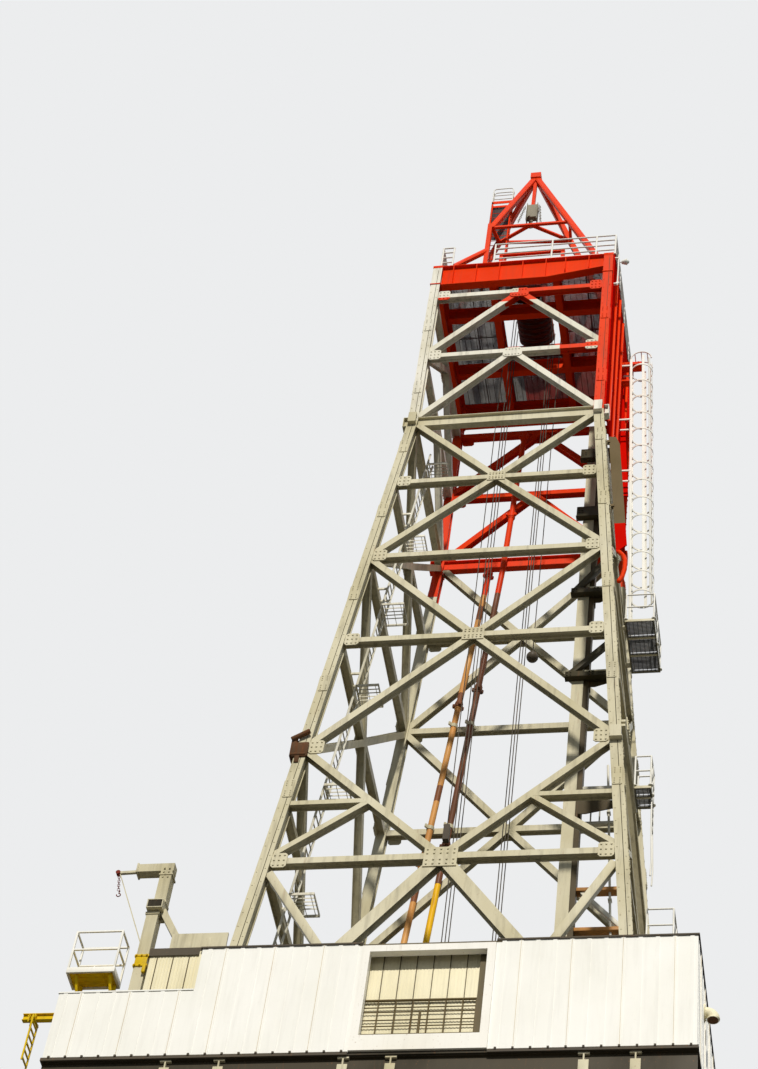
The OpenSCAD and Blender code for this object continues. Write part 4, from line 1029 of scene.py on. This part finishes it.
# Painted shade: the inside of a tube gets no light, so this plate is painted matt and nearly black.
shade_paint = enamel("dark inside of a tube", ("#3B362C", "#2C2821"), rust=0.4, soot=0.6, gloss=(0.7, 0.9))
hollow = [box(-3263, y - 1, 6802, -3097, y + 1, 6908) for y in (-2611.5, -2348.5)]
gather("tube_hollows", hollow, shade_paint)
clamp_parts = boxes((-3290, -2566, 6085, -3120, -2394, 6117, 4), (-3290, -2566, 5945, -3120, -2394, 5975, 4),
                    (-3160, -2600, 5825, -3120, -2566, 5945, 6), (-3276, -2560, 5975, -3134, -2552, 6085, 1))
clamp_parts += bolts((-3265, -3205, -3145), -2566, (5960, 6101), high=12)
gather("davit_clamp", clamp_parts, basket_yellow)
tip = mm(-3755, -2480, 7470)
chain_parts = chain(tip, tip + Vector((0.045, 0, -0.3)), 46, 30, 6) + hook(-3700, -2480, 7130, 24, 6)
chain_parts += [round_bar(mm(-3767, -2510, 7480), mm(-3767, -2450, 7480), 28, 14),
                box(-3785, -2496, 7452, -3745, -2464, 7508, 4)]
gather("davit_chain", chain_parts, sheave_paint, 40)

# %% [markdown]
# ## V-door rail, beam ends and stub beam
# The rail behind the V-door is thin tube. Below the wall the ends of the floor beams stand out in cream against the
# dark floor; each is a web between two flanges with a stiffener. The stub beam carries a small trolley.

# %% V-door rail and beam ends
RAIL_PLANE, RAIL_TOP = -2685, 5235
rail_posts = (-541, -367, -174, 12, 184, 369, 554, 700)
door_rail = [round_bar(mm(x, RAIL_PLANE, DECK_Z), mm(x, RAIL_PLANE, top), r, 10)
             for x, top, r in [(x, RAIL_TOP, 8) for x in rail_posts] + [(100, 5074, 14)]]
door_rail += [round_bar(mm(-600, RAIL_PLANE, z), mm(835, RAIL_PLANE, z), 15 if z == RAIL_TOP else 7, 10)
              for z in (RAIL_TOP, 5137, 5074, 4963, 4880, 4770)]
door_rail += [box(x - 22, RAIL_PLANE - 22, DECK_Z, x + 22, RAIL_PLANE + 22, DECK_Z + 10, 2) for x in rail_posts]
gather("v_door_tube_rail", door_rail, rail_brown, 50, "v_door_rail")
ends = []
for x in (-2573, -1984, -640, -130, 1899, 2435):
    ends += boxes((x - 62, -2786, 4372, x + 62, -2712, 4394, 2), (x - 62, -2786, 4022, x + 62, -2712, 4044, 2),
                  (x - 8, -2786, 4044, x + 8, -2712, 4372), (x - 62, -2718, 4044, x + 62, -2712, 4372),
                  (x - 55, -2792, 4022, x + 55, -2780, 4290, 2))
    ends += bolts((x - 38, x + 38), -2718, (4100, 4180, 4260, 4330))
gather("floor_beam_ends", ends, cream)
trolley = []
for x in (-4371, -4440):
    trolley += [box(x - 6, y, 5360, x + 6, y + 12, 5470, 2) for y in (-2346, -2266)]
    trolley.append(round_bar(mm(x, -2346, 5440), mm(x, -2254, 5440), 16, 14))
gather("stub_beam_trolley", trolley, basket_yellow)

# %% [markdown]
# ## Pipe fittings
# A standpipe is made of lengths with hammer unions, and clamps hold it to the girts. A union is a thick ring with
# three lugs; a clamp is a strap with an ear on each side.

# %% Unions and clamps on the standpipes
def ring(radius, tall):
    """A short upright cylinder about the origin."""
    return round_bar(Vector((0, 0, -tall / 2000)), Vector((0, 0, tall / 2000)), radius, 20)


def union(radius):
    """A hammer union at the origin about Z: a ring, a longer inner one and three lugs."""
    parts = [ring(radius, 90), ring(radius * 0.86, 150)]
    for turn in (0, 120, 240):
        lug = settle(block(Vector((-0.018, -0.02, -0.03)), Vector((0.018, 0.02, 0.03)), 3))
        lug.data.transform(Matrix.Rotation(math.radians(turn), 4, "Z") @ shift(radius + 12, 0, 0))
        parts.append(lug)
    return joined(parts)


def clamp(radius):
    """A strap round a pipe about Z, with an ear on each side."""
    reach = radius / 1000 + 0.05
    return joined([ring(radius, 60), block(Vector((-reach, -0.012, -0.03)), Vector((reach, 0.012, 0.03)), 2)])


def on_pipes(*spots):
    """Places on a pipe at each of its heights, turned along it."""
    places = []
    for (a, b), heights in spots:
        lie = lie_along(a, b).to_matrix().to_4x4()
        places += [Matrix.Translation(a.lerp(b, (z / 1000 - a.z) / (b.z - a.z))) @ lie for z in heights]
    return places


LEFT_PIPE = mm(-1856.1, 2264.1, 4455), mm(-578, 1312.2, 17481)
RIGHT_PIPE = mm(-1473.1, 2264.1, 4455), mm(-370, 1285, 17463)
TOP_PIPE = mm(-370, 1285, 17463), mm(-243, 1285, 21000)
GIRTS = (7900, 10000, 12240, 14190, 16060)
gather("pipe_unions", repeat(union(62), on_pipes(
    (LEFT_PIPE, (5400, 8600, 11600, 14600, 17380)), (RIGHT_PIPE, (5400, 8900, 11900, 14900)),
    (TOP_PIPE, (18800, 20900)))), pipe_paint)
gather("pipe_clamps", repeat(clamp(53), on_pipes((LEFT_PIPE, GIRTS), (RIGHT_PIPE, GIRTS), (TOP_PIPE, (19460,)))),
       cream)

# %% [markdown]
# ## Lamp, corner boxes and leg bolts at the crown
# A floodlight on a white post looks out from the crown's right corner. The long seams of the legs are bolted, and
# at this distance the bolts read as a row of dark dots.

# %% Lamp post and corner boxes
LAMP_Y, LAMP_Z = -1400, 21850
post = [round_bar(mm(1557, LAMP_Y, 21180), mm(1557, LAMP_Y, 22076), 12, 12),
        round_bar(mm(1557, LAMP_Y, LAMP_Z), mm(1610, LAMP_Y, LAMP_Z), 9, 10),
        round_bar(mm(1560, -1412, 21240), mm(1560, -1388, 21240), 26, 12),
        round_bar(mm(1684, LAMP_Y, LAMP_Z), mm(1694, LAMP_Y, LAMP_Z), 55, 20)]
post += [box(1480, -1420, z, 1560, -1380, z + 25, 3) for z in (21200, 21960)]
start()
bpy.ops.mesh.primitive_cone_add(vertices=20, radius1=0.03, radius2=0.052, depth=0.08,
                                location=mm(1645, LAMP_Y, LAMP_Z), rotation=(0, math.pi / 2, 0))
gather("crown_lamp_post", post + [bpy.context.object], rail_white)
# A lamp's glass, with the light off, is pale and shows a small bright reflection.
lens = enamel("pale lamp glass", ("#E9EDE6", "#DDE3DC"), rust=0.0, soot=0.1, gloss=(0.05, 0.12))
gather("crown_lamp_glass", [ball(mm(1692, LAMP_Y, LAMP_Z), 40, 8)], lens, 60)
corner_boxes = [box(x - w, y - w, z0, x + w, y + w, z1, bevel) for w, z0, z1, bevel in
                ((80, 21980, 22048, 5), (88, 21490, 21510, 3)) for x in (-1400, 1400) for y in (-1400, 1400)]
gather("crown_corners", corner_boxes, red)

# %% [markdown]
# The bolts stand in two lines down each outer face of a leg, one line a little higher than the other. A curve could
# carry them, but a list of heights leaves out the places that a splice takes up.

# %% Seam bolts of the legs
def seam_bolts(leg):
    """Bolts down the middle of a leg's two outer faces, but for the splices and the neck's foot."""
    free = [z for z in range(4700, 21400, 230) if all(abs(z - s) >= 200 for s in SPLICES + (NECK_Z,))]
    bases = [face_frame(side, z) @ shift(k * half_width(z), -75, 0)
             for z in free for side, k in outer_faces(*LEGS[leg])]
    return repeat(bolt(9, 4), [base @ shift(dx, 0, dz) for base in bases for dx, dz in ((-48, 0), (48, 60))])


for leg in LEGS:
    gather("seam_bolts_" + leg, seam_bolts(leg), cream if "left" in leg else cream_then_red)

# %% [markdown]
# ## Caged ladder
# The ladder on the right has flat-bar rails, round rungs and a safety cage of flat hoops. A hoop is an open
# cylinder primitive given its thickness by a solidify modifier, and it is copied up the ladder at its pitch. The
# whole ladder is built upright about its own foot, in metres, and then leaned by its real angle.

# %% Ladder and cage
LADDER_X, LADDER_Y, LADDER_Z = 1985, 120, 14246
LEAN_ANGLE, LEAN_RATE = -1.45, 0.0253     # in degrees, and as X lost for each step up
LEAN = at(LADDER_X, LADDER_Y, LADDER_Z, LEAN_ANGLE, "Y")
RISE, CAGE_START, HOOP_PITCH = 6.904, 0.914, 0.44


def strap_ring(radius, tall, thick):
    """A flat hoop about Z, in metres."""
    start()
    bpy.ops.mesh.primitive_cylinder_add(vertices=28, radius=radius, depth=tall, end_fill_type="NOTHING")
    ob = bpy.context.object
    wall = ob.modifiers.new("wall", "SOLIDIFY")
    wall.thickness, wall.offset = thick, -1
    bpy.ops.object.modifier_apply(modifier="wall")
    return ob


def leaned(parts):
    """Moves parts that were built about the ladder's foot to their real place and lean."""
    for part in parts:
        settle(part).data.transform(LEAN)
    return parts


hoops = repeat(strap_ring(0.175, 0.034, 0.008),
               [Matrix.Translation((0, 0, CAGE_START + 0.012 + HOOP_PITCH * i)) for i in range(14)])
bars = []
for degrees in (-78, -39, 0, 39, 78):
    bars += repeat(block(Vector((0.162, -0.02, CAGE_START)), Vector((0.169, 0.02, RISE))),
                   [Matrix.Rotation(math.radians(degrees), 4, "Z")])
bars += [block(Vector((-0.185, y - 0.006, 0)), Vector((-0.145, y + 0.006, RISE)), 2) for y in (-0.1, 0.1)]
rungs = repeat(round_bar(Vector((-0.168, -0.095, 0.048)), Vector((-0.168, 0.095, 0.048)), 9, 8),
               [shift(0, 0, RUNG_PITCH * i) for i in range(46)])
stays = [box(1476, LADDER_Y + y - 10, z, LADDER_X - 165 - LEAN_RATE * (z - LADDER_Z), LADDER_Y + y + 10, z + 30, 2)
         for z in (18116, 19459, 20950) for y in (-100, 100)]
gather("caged_ladder_straps", leaned(hoops + bars + rungs) + stays, rail_white, 40, "caged_ladder")
arm = boxes((1500, 40, 21030, 1830, 200, 21100, 5), (1500, 60, 20600, 1640, 180, 20640, 4))
arm += bolts((1540, 1600, 1760), 40, (21050, 21080))
gather("cage_arm", arm, red)

# %% [markdown]
# ## Platforms on the right side
# Each platform is a frame of channel with cross members, bar grating in every bay, and a tube handrail with a toe
# strip. From the ground the bays read as dark squares in a pale frame.

# %% Railed platforms
def railed_platform(x0, x1, y0, y1, z, bays):
    """The frame, the rails and the gratings of a platform whose top is at z."""
    frame_parts, mesh_parts = [], []
    for a, b, c, d in rim(x0, x1, y0, y1, 14):
        frame_parts += boxes((a, b, z - 50, c, d, z, 2), (a, b, z - 50, c, d, z - 44))
    step = (y1 - y0) / bays
    for i in range(1, bays):
        frame_parts.append(box(x0 + 14, y0 + i * step - 14, z - 46, x1 - 14, y0 + i * step + 14, z - 6, 2))
    for i in range(bays):
        mesh_parts += grating(x0 + 15, x1 - 15, y0 + i * step + 15, y0 + (i + 1) * step - 15, z, 24, 26, 60)
    corners = [(x0 + 9, y0 + 9), (x1 - 9, y0 + 9), (x1 - 9, y1 - 9), (x0 + 9, y1 - 9)]
    rail_parts = guard(corners, (275, 540), z, corners + [(x1 - 9, (y0 + y1) / 2)], 11, 12)
    return frame_parts, rail_parts + boxes((x1 - 6, y0, z, x1, y1, z + 60)), mesh_parts


frames, guards, meshes = [], [], []
for spec in ((1789.7, 2199.7, -330, 640, 14186, 3), (2070.4, 2290.4, -860, -490, 10300, 2),
             (2214.9, 2559.9, -300, 400, 8170, 2)):
    for heap, parts in zip((frames, guards, meshes), railed_platform(*spec)):
        heap.extend(parts)
frames += [box(1716.7, y - 30, 14140, 1800, y + 30, 14182, 3) for y in (-200, 500)]
frames += [box(half_width(z) + 75.5, -half_width(z) - 60, z, 2078, -500, z + 40, 3) for z in (10170, 10254)]
for y in (-250, 350):
    frames.append(box(half_width(7853) + 55.7, y - 30, 7853, 2559.9, y + 30, 7933, 3))
    frames += [box(x, y - 25, 7893, x + 50, y + 25, 8130, 3) for x in (2229.9, 2499.9)]
gather("platform_frames", frames, cream, replaces="side_platforms")
gather("platform_rails", guards, rail_white, 50)
gather("platform_gratings", meshes, galvanised)
tail = []
for y in (-500, -680):
    tail += rail_line([mm(2282, y, 10250), mm(2284, y, 9700), mm(2300, y, 9150), mm(2290, y, 8900)], 10)
tail += [round_bar(mm(2284, -680, z), mm(2284, -500, z), 8, 8) for z in (10100, 9950, 9800)]
gather("platform_ladder_tail", tail, rail_white, 50)

# %% [markdown]
# ## Small steel on the derrick
# Base shoes hold the legs to the floor, rusty clamps sit where a line was once tied, and a curved red plate ends
# the leaning fin. These are the parts that tell a used rig from a drawing of one.

# %% Leg shoes and rusty clamp
FOOT, SHOE_TOP = 2369, 4466
shoes, shoe_bolts = [], []
for sx, sy in LEGS.values():
    x, y = sx * FOOT, sy * FOOT
    shoes.append(box(x - 160, y - 160, DECK_Z, x + 160, y + 160, SHOE_TOP, 4))
    for dx, dy, wide, deep in ((105, 0, 40, 7), (-105, 0, 40, 7), (0, 105, 7, 40), (0, -105, 7, 40)):
        shoes.append(box(x + dx - wide, y + dy - deep, SHOE_TOP, x + dx + wide, y + dy + deep, 4640, 3))
    shoe_bolts += [at(x + a, y + b, SHOE_TOP, -90, "X") for a in (-130, 130) for b in (-130, 130)]
gather("leg_shoes", shoes + repeat(bolt(18, 22), shoe_bolts), cream)
# Steel that has lost its paint is a matt, mottled brown all over.
rust_and_mouth_shade = enamel("bare rusting steel, also painted shade in the vent mouth", ("#6E4A30", "#4C3222"), rust=0.9, soot=0.6, gloss=(0.75, 0.95))
corner = half_width(9960)
clamps = boxes((-corner - 92, -corner - 92, 9880, -corner + 40, -corner - 74, 10010, 5),
               (-corner - 98, -corner - 60, 9900, -corner - 78, -corner + 20, 9990, 5),
               (-corner - 70, -corner - 112, 9700, -corner - 10, -corner - 92, 9830, 6),
               (-2120, -2062, 9830, -2044, -1900, 10190, 22), (-2090, -2078, 9805, -1880, -2044, 10060, 14))
clamps += [round_bar(mm(-2110, -2070, 10120), mm(-1900, -2070, 10260), 34, 14),
           round_bar(mm(-2100, -2066, 9840), mm(-1900, -2066, 9840), 26, 14)]
clamps += bolts((-corner - 70, -corner + 15), -corner - 92, (9900, 9990), 14, 14)
gather("leg_clamp", clamps, rust_and_mouth_shade)

# %% [markdown]
# A wedge is a block with one upper edge pushed down. The fin's knee is tube through six points, and the vent on the
# right wall is a flange with a ring of bolts and, below it, a dark disc of painted shade for its mouth.

# %% Bracket, fin knee and vent
def wedge(low, high, drop, end=1):
    """A block with its upper edge lowered at one end: 1 is the end towards +X, -1 the end towards -X."""
    ob = block(low, high)
    lowered = high.x if end > 0 else low.x

    def top_edge(edge):
        points = (ob.matrix_world @ v.co for v in edge.verts)
        return all(abs(p.x - lowered) < 1e-4 and p.z > high.z - 1e-4 for p in points)
    pick(ob, top_edge, "edges")
    push(0, 0, -drop / 1000)
    return done(ob)


bracket = [wedge(mm(corner - 60, -corner - 150, 9900), mm(corner + 76, -corner - 78, 10090), 90),
           box(corner - 70, -corner - 160, 9880, corner + 90, -corner - 76, 9900, 3)]
gather("leg_bracket", bracket, cream)
bend = [mm(x, -900, z) for x, z in ((1735, 14993), (1800, 14900), (1828, 14780), (1826, 14600), (1795, 14430),
                                    (1756, 14348))]
gather("fin_knee", rail_line(bend, 34) + [ball(bend[0], 34), ball(bend[-1], 34)], red, 60)
VENT_X, VENT_Y, VENT_Z = 3163.5, -2000, 5560
vent = [round_bar(mm(VENT_X, VENT_Y, 5455), mm(VENT_X, VENT_Y, 5466), 68, 32),
        round_bar(mm(RIGHT_FACE, VENT_Y, VENT_Z), mm(RIGHT_FACE + 10, VENT_Y, VENT_Z), 96, 24)]
vent += repeat(bolt(8, 8), [at(RIGHT_FACE + 10, VENT_Y + 84 * math.cos(k), VENT_Z + 84 * math.sin(k), 90)
                            for k in (0, 1.05, 2.09, 3.14, 4.19, 5.24)])
gather("vent_rim", vent, cream_sheet, 40)
# Painted shade: the vent's mouth is a disc in the dark rust paint, standing for the unlit inside of the opening.
mouth = [round_bar(mm(VENT_X, VENT_Y, 5453), mm(VENT_X, VENT_Y, 5458), 58, 32)]
gather("vent_mouth_shade", mouth, rust_and_mouth_shade, 40)

# %% [markdown]
# ## Seams and the V-door panel
# Wall panels meet in seams that catch dirt, and the panel behind the V-door stands just behind its rail. A seam is
# a thin proud strip in a dirty paint, laid on the rib, so that it reads as a line from the ground.

# %% Panel seams and V-door panel
SEAM_FOOT, SEAM_TOP, PANEL_PITCH = 4445, 5948, 3 * RIB_PITCH
# Dirt tints the seams of white sheet a little. The joints of the cream panels are painted dark as painted shade.
seam_paint = enamel("dirt in a panel seam", ("#DDD6C6", "#D0C7B2"), rust=0.4, soot=0.2)
painted_gap_shade = enamel("painted shade between panels", ("#6A6048", "#554C39"), rust=0.3, soot=0.5)
seams = [box(x - 3, -2812, SEAM_FOOT, x + 3, -2806, top)
         for first, last, top in ((-2145, -620, SEAM_TOP), (1155, 3060, SEAM_TOP), (-3695, -2440, 5346))
         for x in range(first, last, PANEL_PITCH)]
seams += [box(3074, y - 3, SEAM_FOOT, 3080, y + 3, SEAM_TOP) for y in range(-2515, 2800, PANEL_PITCH)]
gather("panel_seams", seams, seam_paint)
panel = boxes((-655, -2655, SEAM_FOOT, 945, -2640, 5955, 1))
panel += [box(x - 7, -2659, SEAM_FOOT, x + 7, -2655, 5955, 1) for x in range(-640, 940, 37)]
panel += [box(-655, -2640, z, 945, -2570, z + 30, 1) for z in (4500, 5200, 5900)]
gather("v_door_panel", panel, cream_sheet)
# Painted shade: dark strips in the joints of the V-door panel and the recess, a dark strip at the right edge of each,
# and a dark soffit under the door's top.
gap_shade_strips = [box(x - 5, -2664, SEAM_FOOT, x + 5, -2658, 5940) for x in range(-560, 700, 186)]
gap_shade_strips += boxes((706, -2712, SEAM_FOOT, 774, -2660, 5940), (-655, -2806, 5934, 945, -2640, 5950),
              (-2458, -2712, 5300, -2445, -2700, 5930))
gap_shade_strips += [box(x - 5, -2710, 5300, x + 5, -2702, 5930) for x in range(-2960, -2440, RIB_PITCH)]
gather("panel_gap_shade", gap_shade_strips, painted_gap_shade)

# %% [markdown]
# ## Brackets of the guide column
# Dark yokes tie the guide column to the right side of the derrick. Each yoke wraps the front of the column, and two
# of them have a strut that rises to the leg. They could be one cut plate, but a channel and a square strut show the
# same shadows from below.

# %% Yokes, struts and painted shade lines on the legs
# Near-black olive enamel for the yokes. On the legs the same paint is painted shade: a dark line where the flanges
# meet.
dark_olive_and_gap_shade = enamel("near-black olive enamel, also painted gap shade", ("#454030", "#38331F"), rust=0.4, soot=0.5)
STRUTTED, PLAIN = (14186, 16056), (17960, 19459)
yokes, yoke_lips = [], []
for z in STRUTTED:
    reach = half_width(z) - 66
    yokes += boxes((840, 612, z - 70, reach, 704, z + 40, 5), (834, 604, z - 78, reach, 712, z - 70, 2))
    yokes.append(square_tube(mm(875, 658, z - 30), mm(half_width(z + 760) - 80, 658, z + 760), 88))
    yoke_lips.append(box(1120, 606, z + 12, reach, 612, z + 42, 1))
for z in PLAIN:
    yokes += boxes((836, 612, z - 120, 1328, 704, z + 110, 8), (828, 604, z - 130, 1328, 712, z - 120, 2))
yokes += bolts((870, 920, 1190, 1240), 612, [z + dz for z in STRUTTED + PLAIN for dz in (-40, 10)], 13, 11)
gather("column_yokes", yokes, dark_olive_and_gap_shade)
gather("column_yoke_lips", yoke_lips, cream)
# Painted shade: a thin near-black strip down each front leg stands for the shadow between its flanges.
leg_gap_shade_lines = [square_tube(*(mm(sx * half_width(z) + share, -half_width(z) - 74.5, z) for z in ends), 7)
             for sx, share in ((-1, 18), (1, 22)) for ends in ((4470, 9880), (10020, 17600), (17850, 21900))]
gather("leg_gap_shade_lines", leg_gap_shade_lines, dark_olive_and_gap_shade)

# %% [markdown]
# ## Top of the cage and the small roof
# The cage ends in an arch of tube that keeps the climber's head clear, and a low sloping plate stands on the recess
# beside the front left leg. The arch is one tube through the points of a half circle.

# %% Cage arch and sloping plate
def arch_point(t, y):
    """A point of the arch over the cage: t runs from 0 at one foot to pi at the other."""
    return Vector((-0.168 + 0.165 * (1 - math.cos(t)), y, RISE + 0.19 * math.sin(t)))


arch = []
for y in (-0.1, 0.1):
    arch += rail_line([arch_point(i * math.pi / 10, y) for i in range(11)], 11)
arch += [round_bar(arch_point(t, -0.1), arch_point(t, 0.1), 8, 8) for t in (0.9, 1.57, 2.2)]
gather("cage_arch", leaned(arch), rail_white, 50)
roof_plate = [wedge(mm(-2850, -2700, 6050), mm(-2200, -2672, 6285), 190, -1)]
roof_plate += boxes((-2650, -2706, 6052, -2600, -2664, 6150, 3), (-2420, -2706, 6052, -2380, -2664, 6210, 3))
gather("recess_roof_plate", roof_plate, cream)

# %% [markdown]
# ## Foot braces and the inner ladder
# The lowest bay of the front has a second pair of braces that cross the inverted V. Inside the left face a ladder
# climbs to the neck, with a small grating at each landing. A landing is an open frame, so that the sky shows
# through it from below.

# %% Braces, ladder and landings
braces = [square_tube(*(mm(x, -half_width(z), z) for x, z in ((top, 7710), (foot, 4475))), 108)
          for top, foot in ((-2040, -60), (2040, 430))]
gather("foot_braces", braces, cream)
LADDER_HALF, LADDER_FOOT, LADDER_HEAD = 110, 4445, 17656


def ladder_at(z):
    """The middle of the ladder at a height. It leans in with the left face."""
    return Vector((-(half_width(z) - 190), -(half_width(z) - 650), z))


ladder, landings = [], []
for d in (-LADDER_HALF, LADDER_HALF):
    ladder.append(square_tube(*(mm(*(ladder_at(z) + Vector((0, d, 0)))) for z in (LADDER_FOOT, LADDER_HEAD)), 26))
ladder += repeat(round_bar(mm(0, -105, 0), mm(0, 105, 0), 9, 8),
                 [shift(*ladder_at(z)) for z in range(4590, 17516, RUNG_PITCH)])
for z in (7865, 9886, 11909, 13735, 15382, 17300):
    p = ladder_at(z)
    x0, x1, y0, y1 = p.x + 14, p.x + 330, p.y - 190, p.y + 210
    ladder += [box(a, b, z - 40, c, d, z, 2) for a, b, c, d in rim(x0, x1, y0, y1, 12, 10)]
    landings += grating(x0 + 10, x1 - 10, y0 + 12, y1 - 12, z - 4, 62, 18, 110)
for z in (7893, 12245, 14186, 16056):
    p = ladder_at(z)
    ladder += [box(-(half_width(z + 20) - 56), p.y + d - 10, z - 18, p.x - 9, p.y + d + 10, z + 18, 2)
               for d in (-LADDER_HALF, LADDER_HALF)]
gather("inner_ladder_steel", ladder, white, replaces="inner_ladder")
gather("inner_landings", landings, white)

# %% [markdown]
# ## Sheet stiffeners and the planks beside the column
# The red sheet on the right of the neck is stiffened by angles and lapped in three courses, each lap held by a row
# of bolts. Between the guide column and the right face run a slim pole and a few cross planks.

# %% Stiffeners and laps
SHEET_X, SHEET_FOOT, SHEET_TOP = 1500, 17880, 21880
stiffeners = []
for y in (-1120, -660, -200, 620, 1180):
    stiffeners += boxes((SHEET_X - 1, y - 4, SHEET_FOOT, SHEET_X + 34, y + 4, SHEET_TOP, 2),
                        (SHEET_X - 1, y, SHEET_FOOT, SHEET_X + 7, y + 38, SHEET_TOP, 2))
gather("sheet_stiffeners", stiffeners, red)
LAPS = (19230, 20600)
laps = [box(SHEET_X - 1, -1434, z - 26, SHEET_X + 4, 1454, z + 26, 1) for z in LAPS]
lap_bolts = [at(SHEET_X + 4, y, z, 90) for z in LAPS for y in range(-1390, 1440, 94)]
lap_bolts += [at(SHEET_X, y, z, 90) for y in (-1405, 1425) for z in range(SHEET_FOOT + 70, SHEET_TOP, 160)]
# The laps take the cladding's paint, darkened as painted shade.
gather("sheet_laps", laps + repeat(bolt(10, 8), lap_bolts), shaded_fin_paint)

# %% [markdown]
# The planks are blocks that end at the leaning face, so their length follows the derrick's half width.

# %% Cross planks and pole
POLE_X, POLE_FOOT, POLE_LEAN = 1860, 4445, 0.045
planks = boxes((1172, 765, 11955, half_width(12000) - 60, 835, 12010, 4),
               (1172, 770, 11290, half_width(11340) - 60, 830, 11340, 4))
planks.append(round_bar(mm(POLE_X, 800, POLE_FOOT), mm(1500, 800, 12440), 17, 12))
planks += [round_bar(mm(x, 800, 11340), mm(x, 800, 11955), 11, 10) for x in (1300, 1420)]
planks.append(square_tube(mm(1240, 800, 10060), mm(1780, 800, 9420), 62))
planks += repeat(box(-26, 760, 0, 26, 840, 14, 2),
                 [shift(POLE_X - (z - POLE_FOOT) * POLE_LEAN, 0, z) for z in range(5900, 12300, 800)])
gather("cross_planks", planks, white)
rough_planks = boxes((1172, 745, 10050, half_width(10110) - 60, 870, 10110, 5),
                     (1172, 745, 9350, half_width(9420) - 60, 870, 9410, 5))
# Ochre enamel that has rusted through shows as much brown as yellow.
ochre = enamel("ochre enamel, rusting through", ("#C98F4E", "#8D6A48"), rust=0.9, soot=0.5)
gather("rusty_planks", rough_planks, ochre)

# %% [markdown]
# ## Size of the dressed rig
# The box of the dressed rig is printed.
# The box of the dressed rig is written beside the frame's, so that no piece stands outside it.

# %% Sizes and finish
low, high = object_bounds()
print("visual box", [round(v, 3) for v in low], [round(v, 3) for v in high])
